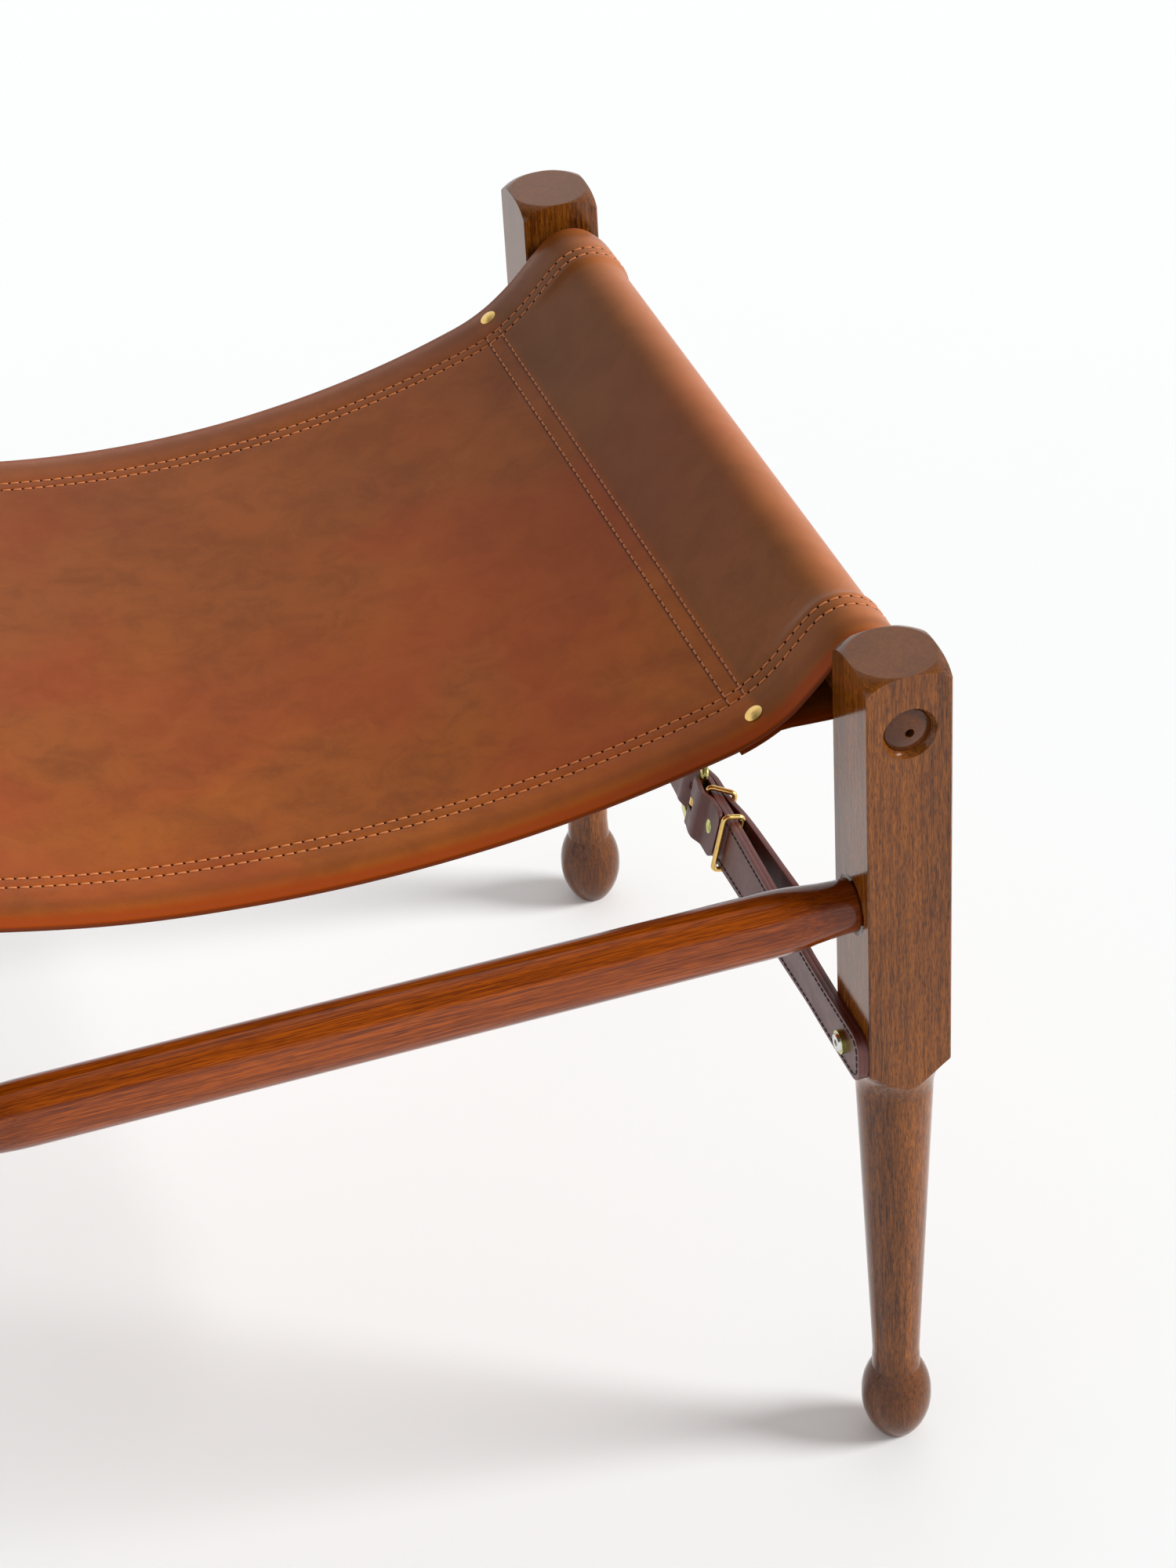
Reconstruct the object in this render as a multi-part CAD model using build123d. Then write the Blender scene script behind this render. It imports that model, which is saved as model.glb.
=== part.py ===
from build123d import *
from math import acos, asin, atan2, cos, degrees, pi, radians, sin, sqrt
import os

# A knock-down safari stool. Four legs, square above and turned below, are joined by two
# stretchers along X and two seat rails along Y, all on round loose tenons. A leather sling
# hangs from the two rails, and a buckled leather belt draws each end pair of legs together.
# The origin is on the floor, under the middle of the seat, and +Z is up.

# Overall sizes
leg_pitch_x = 445.0
leg_pitch_y = 457.0
leg_height = 450.0
leg_width = 39.0

# Leg: the square block, its turned shoulders, the tapered shank and the ball foot
block_bottom = 240.6
block_edge_ease = 0.8
top_flat_radius = 19.4
top_bulge_radius = 24.6
top_bulge_drop = 2.9
top_shoulder_drop = 10.4
turning_margin = 0.7
shoulder_height = 22.5
shank_top_radius = 17.7
ankle_radius = 11.2
ankle_height = 53.0
foot_neck_radius = 11.6
foot_neck_height = 42.5
foot_radius = 16.7
foot_widest_height = 24.0
foot_flat_radius = 8.6
foot_lower_bulge_height_share = 0.42
foot_lower_bulge_radius_share = 0.865
foot_upper_bulge_height_share = 0.56
foot_upper_bulge_radius_share = 0.915

# Heights of what joins the legs: the rails lie a set way below the legs' tops
rail_drop = 29.0
stretcher_height = 323.3
belt_height = 248.0

# Round tenons and their holes in the legs
tenon_clearance = 0.15
tenon_end_gap = 1.5
shoulder_gap = 0.3

# Seat rail: a round bar in the sling's sleeve, with tenons right through the legs
rail_radius = 16.0
rail_shoulder_length = 4.5
rail_shoulder_radius = 12.0
rail_tenon_radius = 10.2
rail_recess_radius = 12.4
rail_recess_depth = 3.4
rail_dome_rise = 2.6
rail_dome_inset = 0.4
lathe_centre_radius = 2.1
lathe_centre_depth = 5.0

# Stretcher: a round bar whose ends draw in before blind tenons
stretcher_radius = 14.6
stretcher_neck_radius = 12.0
stretcher_taper_length = 40.0
stretcher_taper_middle_share = 0.5
stretcher_tenon_radius = 10.0
stretcher_tenon_length = 24.0
stretcher_recess_radius = 14.3
stretcher_recess_depth = 2.6

# Sling seat: leather, wrapped round each rail and stitched back under itself
sling_thickness = 3.1
sling_rail_clearance = 0.1
sling_leg_gap = 6.4
sling_drop = 45.5
sling_leave_angle = 42.0
sling_bend_angle = 17.0
sling_knee_radius = 78.0
sling_join_angle = 34.2
sling_leaf_end_angle = 20.0
sling_waist = 6.7
hem_width = 37.0
hem_thickness = 1.5
rivet_edge_distance = 14.0
rivet_seam_angle = 30.0
rivet_seat_gap = 0.06

# Rivets of the sling and of the belts
rivet_head_radius = 4.2
rivet_head_rise = 0.9
rivet_shank_radius = 1.5
rivet_hole_clearance = 0.1
rivet_washer_radius = 4.2
rivet_washer_thickness = 0.9
rivet_peen = 0.5

# Belt: leather widths, thicknesses and the way it runs at the right-hand end
belt_width = 25.5
belt_layer = 2.4
billet_thickness = 2.8
belt_end_reach = 18.5
belt_end_round = 8.5
layer_gap = 0.05
buckle_distance = 195.0
buckle_outset = 2.3
buckle_tilt = 14.5
twist_start_distance = 45.0
twist_stations = 6
flap_length = 32.5
lining_end_gap = 6.5
flap_bulge = 2.6
flap_bulge_start = 7.0
flap_bulge_end = 13.5
flap_flat_start = 17.5
flap_gap = 0.3
flap_corner = 3.6
belt_rivet_distance = 22.4

# Buckle: flat frame with a round heel bar, and its tongue
heel_bar_radius = 2.0
heel_bar_clearance = 0.08
frame_reach = 22.0
frame_bar_width = 4.4
frame_bar_thickness = 3.4
frame_edge_round = 1.1
frame_corner_radius = 5.0
frame_side_clearance = 1.2
frame_angle = 11.6
tongue_ring_radius = 4.2
tongue_ring_width = 4.0
tongue_radius = 1.5
tongue_overhang = 2.4
tongue_rest_gap = 0.15
tongue_slot_clearance = 1.0
tongue_tip_share = 0.8

# Billet: how its middle line passes under the outer bar and over the heel bar
billet_under_gap = 0.35
billet_under_overlap = 1.0
billet_over_gap = 0.6
billet_slot_start = 14.5
billet_slot_length = 16.0
tail_keeper_gap = 0.7
tail_lift = 4.6
tail_lift_distance = 5.0
tail_end_lift = 7.4
tail_length = 109.0
tail_point_length = 14.0
tail_tilt_share = 0.4
tail_mid_tilt_share = 0.85
tail_mid_distance = 35.0
billet_twist_distance = 60.0

# Keepers: wire loops round the belt
keeper_wire_radius = 1.35
keeper_corner_radius = 2.4
keeper_clearance = 0.7
keeper_bar_gap = 0.2
keeper_lean = 5.0
fixed_keeper_distance = 11.0
runner_distance = 37.0
runner_clearance = 1.1

# Belt fixings: bolt, collar and threaded insert
collar_radius = 5.6
collar_length = 2.5
bolt_radius = 2.5
bolt_hole_clearance = 0.2
bolt_head_radius = 4.4
bolt_head_rise = 1.2
bolt_head_top_radius = 4.0
bolt_length = 22.0
bolt_socket_width = 3.0
bolt_socket_depth = 0.9
insert_radius = 4.2
insert_length = 14.0
insert_fit = 0.03

# What follows from the sizes above
rail_height = leg_height - rail_drop
half_leg = leg_width / 2
half_x = leg_pitch_x / 2
half_y = leg_pitch_y / 2
corner_radius = leg_width / sqrt(2)
turning_radius = corner_radius + turning_margin
cut_length = leg_width * 2
sleeve_outer_radius = rail_radius + sling_rail_clearance + sling_thickness
half_belt = belt_width / 2
strap_thickness = belt_layer * 2 + layer_gap
fold_inner_radius = heel_bar_radius + heel_bar_clearance
fold_outer_radius = fold_inner_radius + belt_layer


def turned(points_face):
    """A solid of revolution about Z from a face drawn in X and Z."""
    return revolve(points_face, axis=Axis.Z)


def leg_profile():
    """Half outline of the turning, square block and all, from the floor to the top."""
    taper = atan2(shank_top_radius - ankle_radius, block_bottom - shoulder_height - ankle_height)
    shoulder_top = (turning_radius, 0, block_bottom)
    shoulder_bottom = (shank_top_radius, 0, block_bottom - shoulder_height)
    top_corner = (turning_radius, 0, leg_height - top_shoulder_drop)
    neck_start = (foot_neck_radius, 0, foot_neck_height)
    widest = (foot_radius, 0, foot_widest_height)
    lower_bulge = (
        foot_radius * foot_lower_bulge_radius_share,
        0,
        foot_widest_height * foot_lower_bulge_height_share,
    )
    upper_bulge = (
        foot_radius * foot_upper_bulge_radius_share,
        0,
        foot_widest_height + (foot_neck_height - foot_widest_height) * foot_upper_bulge_height_share,
    )
    edges = [
        Line((0, 0, 0), (foot_flat_radius, 0, 0)),
        ThreePointArc((foot_flat_radius, 0, 0), lower_bulge, widest),
        ThreePointArc(widest, upper_bulge, neck_start),
        Line(neck_start, (ankle_radius, 0, ankle_height)),
        Line((ankle_radius, 0, ankle_height), shoulder_bottom),
        TangentArc([shoulder_bottom, shoulder_top], tangent=(sin(taper), 0, cos(taper))),
        Line(shoulder_top, top_corner),
        ThreePointArc(
            top_corner,
            (top_bulge_radius, 0, leg_height - top_bulge_drop),
            (top_flat_radius, 0, leg_height),
        ),
        Line((top_flat_radius, 0, leg_height), (0, 0, leg_height)),
        Line((0, 0, leg_height), (0, 0, 0)),
    ]
    return make_face(edges)


def make_leg():
    """One leg on the Z axis, its stretcher and belt joined on its -X face."""
    block = Box(leg_width, leg_width, leg_height, align=(Align.CENTER, Align.CENTER, Align.MIN))
    block = chamfer(block.edges().filter_by(Axis.Z), block_edge_ease)
    leg = turned(leg_profile()) & block
    rail_axis = Pos(0, 0, rail_height) * Rot(90, 0, 0)
    leg -= rail_axis * Cylinder(rail_tenon_radius + tenon_clearance, cut_length)
    start = (Align.CENTER, Align.CENTER, Align.MIN)
    recess = Cone(
        rail_recess_radius, rail_tenon_radius + tenon_clearance, rail_recess_depth, align=start
    )
    for side in (-1, 1):
        leg -= Pos(0, side * half_leg, rail_height) * Rot(side * 90, 0, 0) * recess
    into_leg = Rot(0, 90, 0)
    mouth = Pos(-half_leg, 0, stretcher_height) * into_leg
    mortise_radius = stretcher_tenon_radius + tenon_clearance
    leg -= mouth * Cylinder(mortise_radius, stretcher_tenon_length + tenon_end_gap, align=start)
    leg -= mouth * Cone(
        stretcher_recess_radius, mortise_radius, stretcher_recess_depth, align=start
    )
    fixing = Pos(-half_leg, 0, belt_height) * into_leg
    leg -= fixing * Cylinder(insert_radius + insert_fit, insert_length, align=start)
    leg -= fixing * Cylinder(bolt_radius + bolt_hole_clearance, bolt_length, align=start)
    return leg


def make_stretcher():
    """One stretcher along X, centred on the origin."""
    half_span = half_x - half_leg - shoulder_gap
    half_length = half_span + stretcher_tenon_length
    taper_start = half_span - stretcher_taper_length
    middle = stretcher_taper_length * stretcher_taper_middle_share
    middle_radius = (stretcher_radius + stretcher_neck_radius) / 2
    slope = 2 * (stretcher_radius - stretcher_neck_radius) / stretcher_taper_length
    edges = [
        Line((0, 0, 0), (stretcher_radius, 0, 0)),
        Line((stretcher_radius, 0, 0), (stretcher_radius, 0, taper_start)),
        TangentArc(
            [(stretcher_radius, 0, taper_start), (middle_radius, 0, taper_start + middle)],
            tangent=(0, 0, 1),
        ),
        TangentArc(
            [(stretcher_neck_radius, 0, half_span), (middle_radius, 0, taper_start + middle)],
            tangent=(0, 0, -1),
        ),
        Line((stretcher_neck_radius, 0, half_span), (stretcher_tenon_radius, 0, half_span)),
        Line((stretcher_tenon_radius, 0, half_span), (stretcher_tenon_radius, 0, half_length)),
        Line((stretcher_tenon_radius, 0, half_length), (0, 0, half_length)),
        Line((0, 0, half_length), (0, 0, 0)),
    ]
    half = turned(make_face(edges))
    bar = half + mirror(half, about=Plane.XY)
    return Rot(0, 90, 0) * bar


def make_rail():
    """One seat rail along Y, centred on the origin."""
    half_span = half_y - half_leg - shoulder_gap
    rim = half_y + half_leg - rail_dome_inset - rail_dome_rise
    apex = rim + rail_dome_rise
    dome_radius = (rail_tenon_radius**2 + rail_dome_rise**2) / (2 * rail_dome_rise)
    half_angle = asin(rail_tenon_radius / dome_radius) / 2
    dome_centre = apex - dome_radius
    dome_middle = (dome_radius * sin(half_angle), 0, dome_centre + dome_radius * cos(half_angle))
    edges = [
        Line((0, 0, 0), (rail_radius, 0, 0)),
        Line((rail_radius, 0, 0), (rail_radius, 0, half_span - rail_shoulder_length)),
        Line(
            (rail_radius, 0, half_span - rail_shoulder_length),
            (rail_shoulder_radius, 0, half_span),
        ),
        Line((rail_shoulder_radius, 0, half_span), (rail_tenon_radius, 0, half_span)),
        Line((rail_tenon_radius, 0, half_span), (rail_tenon_radius, 0, rim)),
        ThreePointArc((rail_tenon_radius, 0, rim), dome_middle, (0, 0, apex)),
        Line((0, 0, apex), (0, 0, 0)),
    ]
    half = turned(make_face(edges))
    half -= Pos(0, 0, apex) * Cylinder(lathe_centre_radius, lathe_centre_depth * 2)
    bar = half + mirror(half, about=Plane.XY)
    return Rot(90, 0, 0) * bar


class SlingLine:
    """The sling's top line in X and Z, right half: flat at the middle of the seat, then a
    wide arc, the tighter bend of the seam, and a straight run up to the rail's sleeve."""

    def __init__(self):
        leave = radians(sling_leave_angle)
        bend = radians(sling_bend_angle)
        middle = rail_height - sling_drop
        reach = (
            half_x * sin(leave)
            - sling_drop * cos(leave)
            - sleeve_outer_radius
            - sling_knee_radius * (1 - cos(leave - bend))
        )
        self.leave = leave
        self.bend = bend
        self.join = radians(sling_join_angle)
        self.leaf_end = radians(sling_leaf_end_angle)
        self.middle = middle
        self.wide_radius = reach / (cos(leave - bend) - cos(leave))
        x, z = self.wide_point(bend, 0)
        self.knee_centre = (
            x - sling_knee_radius * sin(bend),
            z + sling_knee_radius * cos(bend),
        )

    def wide_point(self, angle, depth):
        radius = self.wide_radius + depth
        return (radius * sin(angle), self.middle + self.wide_radius - radius * cos(angle))

    def knee_point(self, angle, depth):
        centre = self.knee_centre
        radius = sling_knee_radius + depth
        return (centre[0] + radius * sin(angle), centre[1] - radius * cos(angle))

    def sleeve_point(self, angle, radius):
        """A point of the sleeve, its angle counted from straight up towards the seat."""
        return (half_x - radius * sin(angle), rail_height + radius * cos(angle))


line = SlingLine()
seat_plane = Plane(origin=(0, 0, 0), x_dir=(1, 0, 0), z_dir=(0, -1, 0))


def leaf_angle():
    """Slope of the returned leaf, which runs straight from the rail's underside to where it
    joins the sheet: it drops towards the rail, so the angle is below zero."""
    join = line.knee_point(line.join, sling_thickness * 2)
    back = half_x - join[0]
    below = rail_height - join[1]
    reach = sqrt(back**2 + below**2)
    return acos(sleeve_outer_radius / reach) - atan2(back, below)


def leaf_tip():
    """Where the leaf's upper face meets the underside of the sheet."""
    slope = leaf_angle()
    inner_radius = sleeve_outer_radius - sling_thickness
    touch = line.sleeve_point(pi + slope, inner_radius)
    centre = line.knee_centre
    knee_radius = sling_knee_radius + sling_thickness
    from_centre = (touch[0] - centre[0], touch[1] - centre[1])
    along = from_centre[0] * cos(slope) + from_centre[1] * sin(slope)
    away_squared = from_centre[0] ** 2 + from_centre[1] ** 2 - along**2
    step = sqrt(knee_radius**2 - away_squared) - along
    return (touch[0] + step * cos(slope), touch[1] + step * sin(slope))


def sheet_face():
    """Section of the whole seat, right half: the sheet rises from the seat's middle, goes
    over the rail, and returns under itself as a leaf that ends past the seam."""
    under = sling_thickness * 2
    half_knee = (line.bend + line.leave) / 2
    half_join = (line.leaf_end + line.join) / 2
    half_free = (line.bend + line.leaf_end) / 2
    inner_radius = sleeve_outer_radius - sling_thickness
    far_side = -(pi / 2)
    low_side = pi + leaf_angle()
    top_start = line.wide_point(0, 0)
    top_bend = line.wide_point(line.bend, 0)
    top_bend_end = line.knee_point(line.leave, 0)
    top_run = line.sleeve_point(line.leave, sleeve_outer_radius)
    sleeve_side = line.sleeve_point(far_side, sleeve_outer_radius)
    sleeve_low = line.sleeve_point(low_side, sleeve_outer_radius)
    leaf_join = line.knee_point(line.join, under)
    leaf_end = line.knee_point(line.leaf_end, under)
    leaf_root = line.knee_point(line.leaf_end, sling_thickness)
    low_middle = line.knee_point(half_free, sling_thickness)
    low_bend = line.wide_point(line.bend, sling_thickness)
    low_start = line.wide_point(0, sling_thickness)
    outline = [
        ThreePointArc(top_start, line.wide_point(line.bend / 2, 0), top_bend),
        ThreePointArc(top_bend, line.knee_point(half_knee, 0), top_bend_end),
        Line(top_bend_end, top_run),
        ThreePointArc(top_run, sleeve_side, sleeve_low),
        Line(sleeve_low, leaf_join),
        ThreePointArc(leaf_join, line.knee_point(half_join, under), leaf_end),
        Line(leaf_end, leaf_root),
        ThreePointArc(leaf_root, low_middle, low_bend),
        ThreePointArc(low_bend, line.wide_point(line.bend / 2, sling_thickness), low_start),
        Line(low_start, top_start),
    ]
    tip = leaf_tip()
    tip_angle = atan2(tip[0] - line.knee_centre[0], line.knee_centre[1] - tip[1])
    void_bend = line.knee_point(line.leave, sling_thickness)
    void_middle = line.knee_point((tip_angle + line.leave) / 2, sling_thickness)
    void_top = line.sleeve_point(line.leave, inner_radius)
    void_side = line.sleeve_point(far_side, inner_radius)
    void_low = line.sleeve_point(low_side, inner_radius)
    void = [
        ThreePointArc(void_top, void_side, void_low),
        Line(void_low, tip),
        ThreePointArc(tip, void_middle, void_bend),
        Line(void_bend, void_top),
    ]
    return make_face(outline) - make_face(void)


def hem_face():
    """Section of the hem under the sheet, right half: it ends behind the returned leaf."""
    half_free = (line.bend + line.leaf_end) / 2
    edges = []
    ends = []
    for depth in (sling_thickness, sling_thickness + hem_thickness):
        start = line.wide_point(0, depth)
        turn = line.wide_point(line.bend, depth)
        stop = line.knee_point(line.leaf_end, depth)
        edges.append(ThreePointArc(start, line.wide_point(line.bend / 2, depth), turn))
        edges.append(ThreePointArc(turn, line.knee_point(half_free, depth), stop))
        ends.append((start, stop))
    edges.append(Line(ends[0][0], ends[1][0]))
    edges.append(Line(ends[0][1], ends[1][1]))
    return make_face(edges)


def seat_plan(inset):
    """The sling seen from above, drawn in by an inset, with its sides waisted."""
    half_length = half_x + sleeve_outer_radius * 2
    half_width = half_y - half_leg - sling_leg_gap - inset
    waist_span = half_x - sleeve_outer_radius * 2
    waist_y = half_width - sling_waist
    outline = []
    for side in (-1, 1):
        outline.append(Line((-half_length, side * half_width), (-waist_span, side * half_width)))
        outline.append(
            ThreePointArc(
                (-waist_span, side * half_width), (0, side * waist_y), (waist_span, side * half_width)
            )
        )
        outline.append(Line((waist_span, side * half_width), (half_length, side * half_width)))
    for end in (-half_length, half_length):
        outline.append(Line((end, -half_width), (end, half_width)))
    return make_face(outline)


def through_plan(face):
    """A plan face made tall enough to cut the whole sling."""
    return extrude(Pos(0, 0, leg_height / 2) * face, amount=leg_height / 2, both=True)


# The seat curves under a rivet's flat-bottomed head, which rests on it by its rim
rivet_head_lift = (
    sling_knee_radius - sqrt(sling_knee_radius**2 - rivet_head_radius**2) + rivet_seat_gap
)


def rivet_place(side_x, side_y):
    """Where a seat rivet goes: on the seam's bend, square to the leather, +Z out of it."""
    angle = radians(rivet_seam_angle)
    x, z = line.knee_point(angle, -rivet_head_lift)
    y = half_y - half_leg - sling_leg_gap - rivet_edge_distance
    return Pos(side_x * x, side_y * y, z) * Rot(0, -side_x * degrees(angle), 0)


def make_sling():
    """The seat: one sheet with a sleeve at each end and hems along its sides."""
    half_width = half_y - half_leg - sling_leg_gap
    half = extrude(seat_plane * sheet_face(), amount=half_width, both=True)
    hem = extrude(seat_plane * hem_face(), amount=half_width, both=True)
    hem -= through_plan(seat_plan(hem_width))
    half = half + hem
    whole = half + mirror(half, about=Plane.YZ)
    whole = whole & through_plan(seat_plan(0))
    for side_x in (-1, 1):
        for side_y in (-1, 1):
            hole = Cylinder(rivet_shank_radius + rivet_hole_clearance, sling_thickness * 5)
            whole -= rivet_place(side_x, side_y) * hole
    return whole


def make_rivet(grip):
    """A rivet whose domed head sits at Z zero and whose shank goes down through the grip."""
    head_sphere = (rivet_head_radius**2 + rivet_head_rise**2) / (2 * rivet_head_rise)
    dome = Pos(0, 0, rivet_head_rise - head_sphere) * Sphere(head_sphere)
    head = dome & Cylinder(
        rivet_head_radius, rivet_head_rise, align=(Align.CENTER, Align.CENTER, Align.MIN)
    )
    reach = grip + rivet_washer_thickness + rivet_peen
    shank = Cylinder(rivet_shank_radius, reach, align=(Align.CENTER, Align.CENTER, Align.MAX))
    return head + shank


def make_rivet_washer(grip):
    """The washer on the back of the leather, round the rivet's shank."""
    washer = Cylinder(
        rivet_washer_radius, rivet_washer_thickness, align=(Align.CENTER, Align.CENTER, Align.MAX)
    )
    washer -= Cylinder(rivet_shank_radius + rivet_hole_clearance, sling_thickness)
    return Pos(0, 0, -grip) * washer


# The belt at the right-hand end. Distances run from the near leg's axis towards the far
# leg; the belt line is where the heel bar's middle would be, moved along the belt.
leg_face = half_x - half_leg
belt_start = leg_face - belt_layer - layer_gap - fold_inner_radius
twist_end_distance = buckle_distance - flap_length


def belt_x(distance):
    """Sideways place of the belt line: against the leg, then easing out to the buckle."""
    beyond = max(distance - half_leg, 0)
    return belt_start + buckle_outset * beyond / (buckle_distance - half_leg)


def belt_tilt(distance):
    """How far the belt leans out at its top, growing from the twist's start to its end."""
    along = (distance - twist_start_distance) / (twist_end_distance - twist_start_distance)
    return buckle_tilt * min(max(along, 0), 1)


def belt_point(distance, tilt, out):
    """A point a given way out of the belt line, square to the leaning belt."""
    lean = radians(tilt)
    x = belt_x(distance) + out * cos(lean)
    return (x, distance - half_y, belt_height - out * sin(lean))


def upright_plane(distance, tilt, out=0):
    """A plane across the belt: its X points out of the stool, its Y up the belt's width."""
    lean = radians(tilt)
    origin = belt_point(distance, tilt, out)
    return Plane(origin=origin, x_dir=(cos(lean), 0, -sin(lean)), z_dir=(0, -1, 0))


def side_plane(distance, tilt, out=0):
    """A plane along the belt: its X runs to the far leg, its Y out of the stool."""
    lean = radians(tilt)
    origin = belt_point(distance, tilt, out)
    return Plane(origin=origin, x_dir=(0, 1, 0), z_dir=(-sin(lean), 0, -cos(lean)))


buckle_plane = side_plane(buckle_distance, buckle_tilt)


def strip_section(plane, low, high):
    """A belt section on a plane across the belt, between two distances out of it."""
    section = Pos((low + high) / 2, 0) * Rectangle(high - low, belt_width)
    return plane * section


def leg_end(low, high, towards):
    """The rounded, bolted end of a belt on the side of a leg. The strap leaves that leg
    towards +Y or -Y, and lies between two X values."""
    middle_y = -towards * half_y
    reach = belt_end_reach + half_leg
    face = Rectangle(reach, belt_width)
    corners = face.vertices().sort_by(Axis.X)
    face = fillet(corners[:2], belt_end_round)
    plane = Plane(origin=(low, middle_y, belt_height), x_dir=(0, towards, 0), z_dir=(1, 0, 0))
    plate = extrude(plane * Pos((half_leg - belt_end_reach) / 2, 0) * face, amount=high - low)
    hole = Cylinder(bolt_radius + bolt_hole_clearance, cut_length, rotation=(0, 90, 0))
    return plate - Pos(leg_face, middle_y, belt_height) * hole


def twisted_run(low, high):
    """The near strap's layer from the leg to the buckle's flat part."""
    distances = [half_leg, twist_start_distance]
    for index in range(twist_stations):
        share = (index + 1) / twist_stations
        distances.append(twist_start_distance + share * (twist_end_distance - twist_start_distance))
    sections = [strip_section(upright_plane(d, belt_tilt(d)), low, high) for d in distances]
    return loft(sections, ruled=True)


def make_buckle_strap():
    """The outer layer of the near strap, folded round the heel bar and back inside."""
    low = fold_inner_radius
    high = fold_outer_radius
    run = twisted_run(low, high)
    straight = make_face(
        Polyline(
            [(-flap_length, low), (0, low), (0, high), (-flap_length, high), (-flap_length, low)]
        )
    )
    ring = Circle(high) - Circle(low)
    right_half = Pos(high, 0) * Rectangle(high * 2, high * 4)
    inner = [
        (0, -low),
        (-flap_bulge_start, -low - flap_bulge / 2),
        (-flap_bulge_end, -low - flap_bulge / 2),
        (-flap_flat_start, low - strap_thickness - flap_gap + belt_layer),
        (-flap_length, low - strap_thickness - flap_gap + belt_layer),
    ]
    outer = [(s, q - belt_layer) for s, q in reversed(inner)]
    flap = make_face(Polyline(inner + outer + inner[:1]))
    fold = straight + (ring & right_half) + flap
    end = extrude(buckle_plane * fold, amount=half_belt, both=True)
    slot_width = tongue_ring_width + tongue_slot_clearance * 2
    slot_reach = tongue_ring_radius + tongue_slot_clearance
    slot_box = Box(slot_reach * 2, fold_outer_radius * 4, slot_width)
    end -= buckle_plane * slot_box
    for side in (-1, 1):
        corner = make_face(
            Polyline(
                [
                    (-flap_length, side * half_belt),
                    (-flap_length + flap_corner, side * half_belt),
                    (-flap_length, side * (half_belt - flap_corner)),
                    (-flap_length, side * half_belt),
                ]
            )
        )
        across = Plane(
            origin=buckle_plane.origin, x_dir=buckle_plane.x_dir, z_dir=-buckle_plane.y_dir
        )
        clear = low - belt_layer - layer_gap - flap_gap / 2
        cutter = extrude(across * corner, amount=fold_outer_radius * 3)
        cutter = Pos(*(buckle_plane.y_dir * clear)) * cutter
        end -= cutter
    strap = leg_end(leg_face - belt_layer, leg_face, 1) + run + end
    return strap - belt_rivet_hole()


def belt_rivet_hole():
    """The rivet's hole through the flap and both layers."""
    hole = Cylinder(rivet_shank_radius + rivet_hole_clearance, fold_outer_radius * 5)
    return buckle_plane * Pos(-belt_rivet_distance, 0, 0) * Rot(90, 0, 0) * hole


def make_lining():
    """The inner layer of the near strap, which ends before the heel bar."""
    high = fold_inner_radius - layer_gap
    low = high - belt_layer
    stop = make_face(
        Polyline(
            [
                (-flap_length, low),
                (-lining_end_gap, low),
                (-lining_end_gap, high),
                (-flap_length, high),
                (-flap_length, low),
            ]
        )
    )
    end = extrude(buckle_plane * stop, amount=half_belt, both=True)
    leg_low = leg_face - strap_thickness
    plate = leg_end(leg_low, leg_low + belt_layer, 1)
    return plate + twisted_run(low, high) + end - belt_rivet_hole()


def frame_point(along, above):
    """A point given along and above the buckle frame, as a distance past the heel bar and
    a distance out of the belt line."""
    turn = radians(frame_angle)
    return (
        along * cos(turn) - above * sin(turn),
        along * sin(turn) + above * cos(turn),
    )


def billet_stations():
    """The billet's sections: distance, tilt and how far its middle is out of the belt line."""
    below = -(frame_bar_thickness / 2 + billet_under_gap + billet_thickness / 2)
    outer_edge = frame_reach + frame_bar_width / 2 + billet_under_overlap
    inner_edge = frame_reach - frame_bar_width / 2 - billet_under_overlap
    over = fold_outer_radius + billet_over_gap + billet_thickness / 2
    kept = fold_outer_radius + tail_keeper_gap + billet_thickness / 2
    kept_end = fixed_keeper_distance + keeper_lean
    far_x = leg_face - billet_thickness / 2
    tail_x = fold_outer_radius + billet_thickness / 2 + tail_lift
    passing = [
        frame_point(outer_edge, below),
        frame_point(inner_edge, below),
        (fold_inner_radius, over),
        (-tail_lift_distance, kept),
        (-kept_end, kept),
    ]
    stations = []
    twist_from = buckle_distance + passing[0][0] + billet_twist_distance
    for distance in (leg_pitch_y - half_leg, twist_from):
        stations.append((distance, 0, far_x - belt_x(distance)))
    for s, q in passing:
        stations.append((buckle_distance + s, buckle_tilt, q))
    middle = buckle_distance - tail_mid_distance
    stations.append((middle, buckle_tilt * tail_mid_tilt_share, tail_x))
    end = buckle_distance - tail_length + tail_point_length * 2
    end_out = fold_outer_radius + billet_thickness / 2 + tail_end_lift
    stations.append((end, buckle_tilt * tail_tilt_share, end_out))
    return stations


def make_billet():
    """The far strap: under the buckle's outer bar, over its heel bar, then the loose tail."""
    stations = billet_stations()
    half = billet_thickness / 2
    sections = [strip_section(upright_plane(*station), -half, half) for station in stations]
    run = loft(sections, ruled=True)
    outline = make_face(
        Polyline(
            [
                (0, -half_belt),
                (-tail_point_length, -half_belt),
                (-tail_point_length * 2, 0),
                (-tail_point_length, half_belt),
                (0, half_belt),
                (0, -half_belt),
            ]
        )
    )
    lie = side_plane(*stations[-1])
    across = Plane(origin=lie.origin, x_dir=lie.x_dir, z_dir=lie.y_dir)
    tip = extrude(across * outline, amount=half, both=True)
    strap = leg_end(leg_face - billet_thickness, leg_face, -1) + run + tip
    slot = Box(billet_slot_length, fold_outer_radius * 8, tongue_radius * 2 + tongue_slot_clearance)
    place = Pos(billet_slot_start - billet_slot_length / 2, 0, 0)
    return strap - buckle_plane * place * slot


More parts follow.
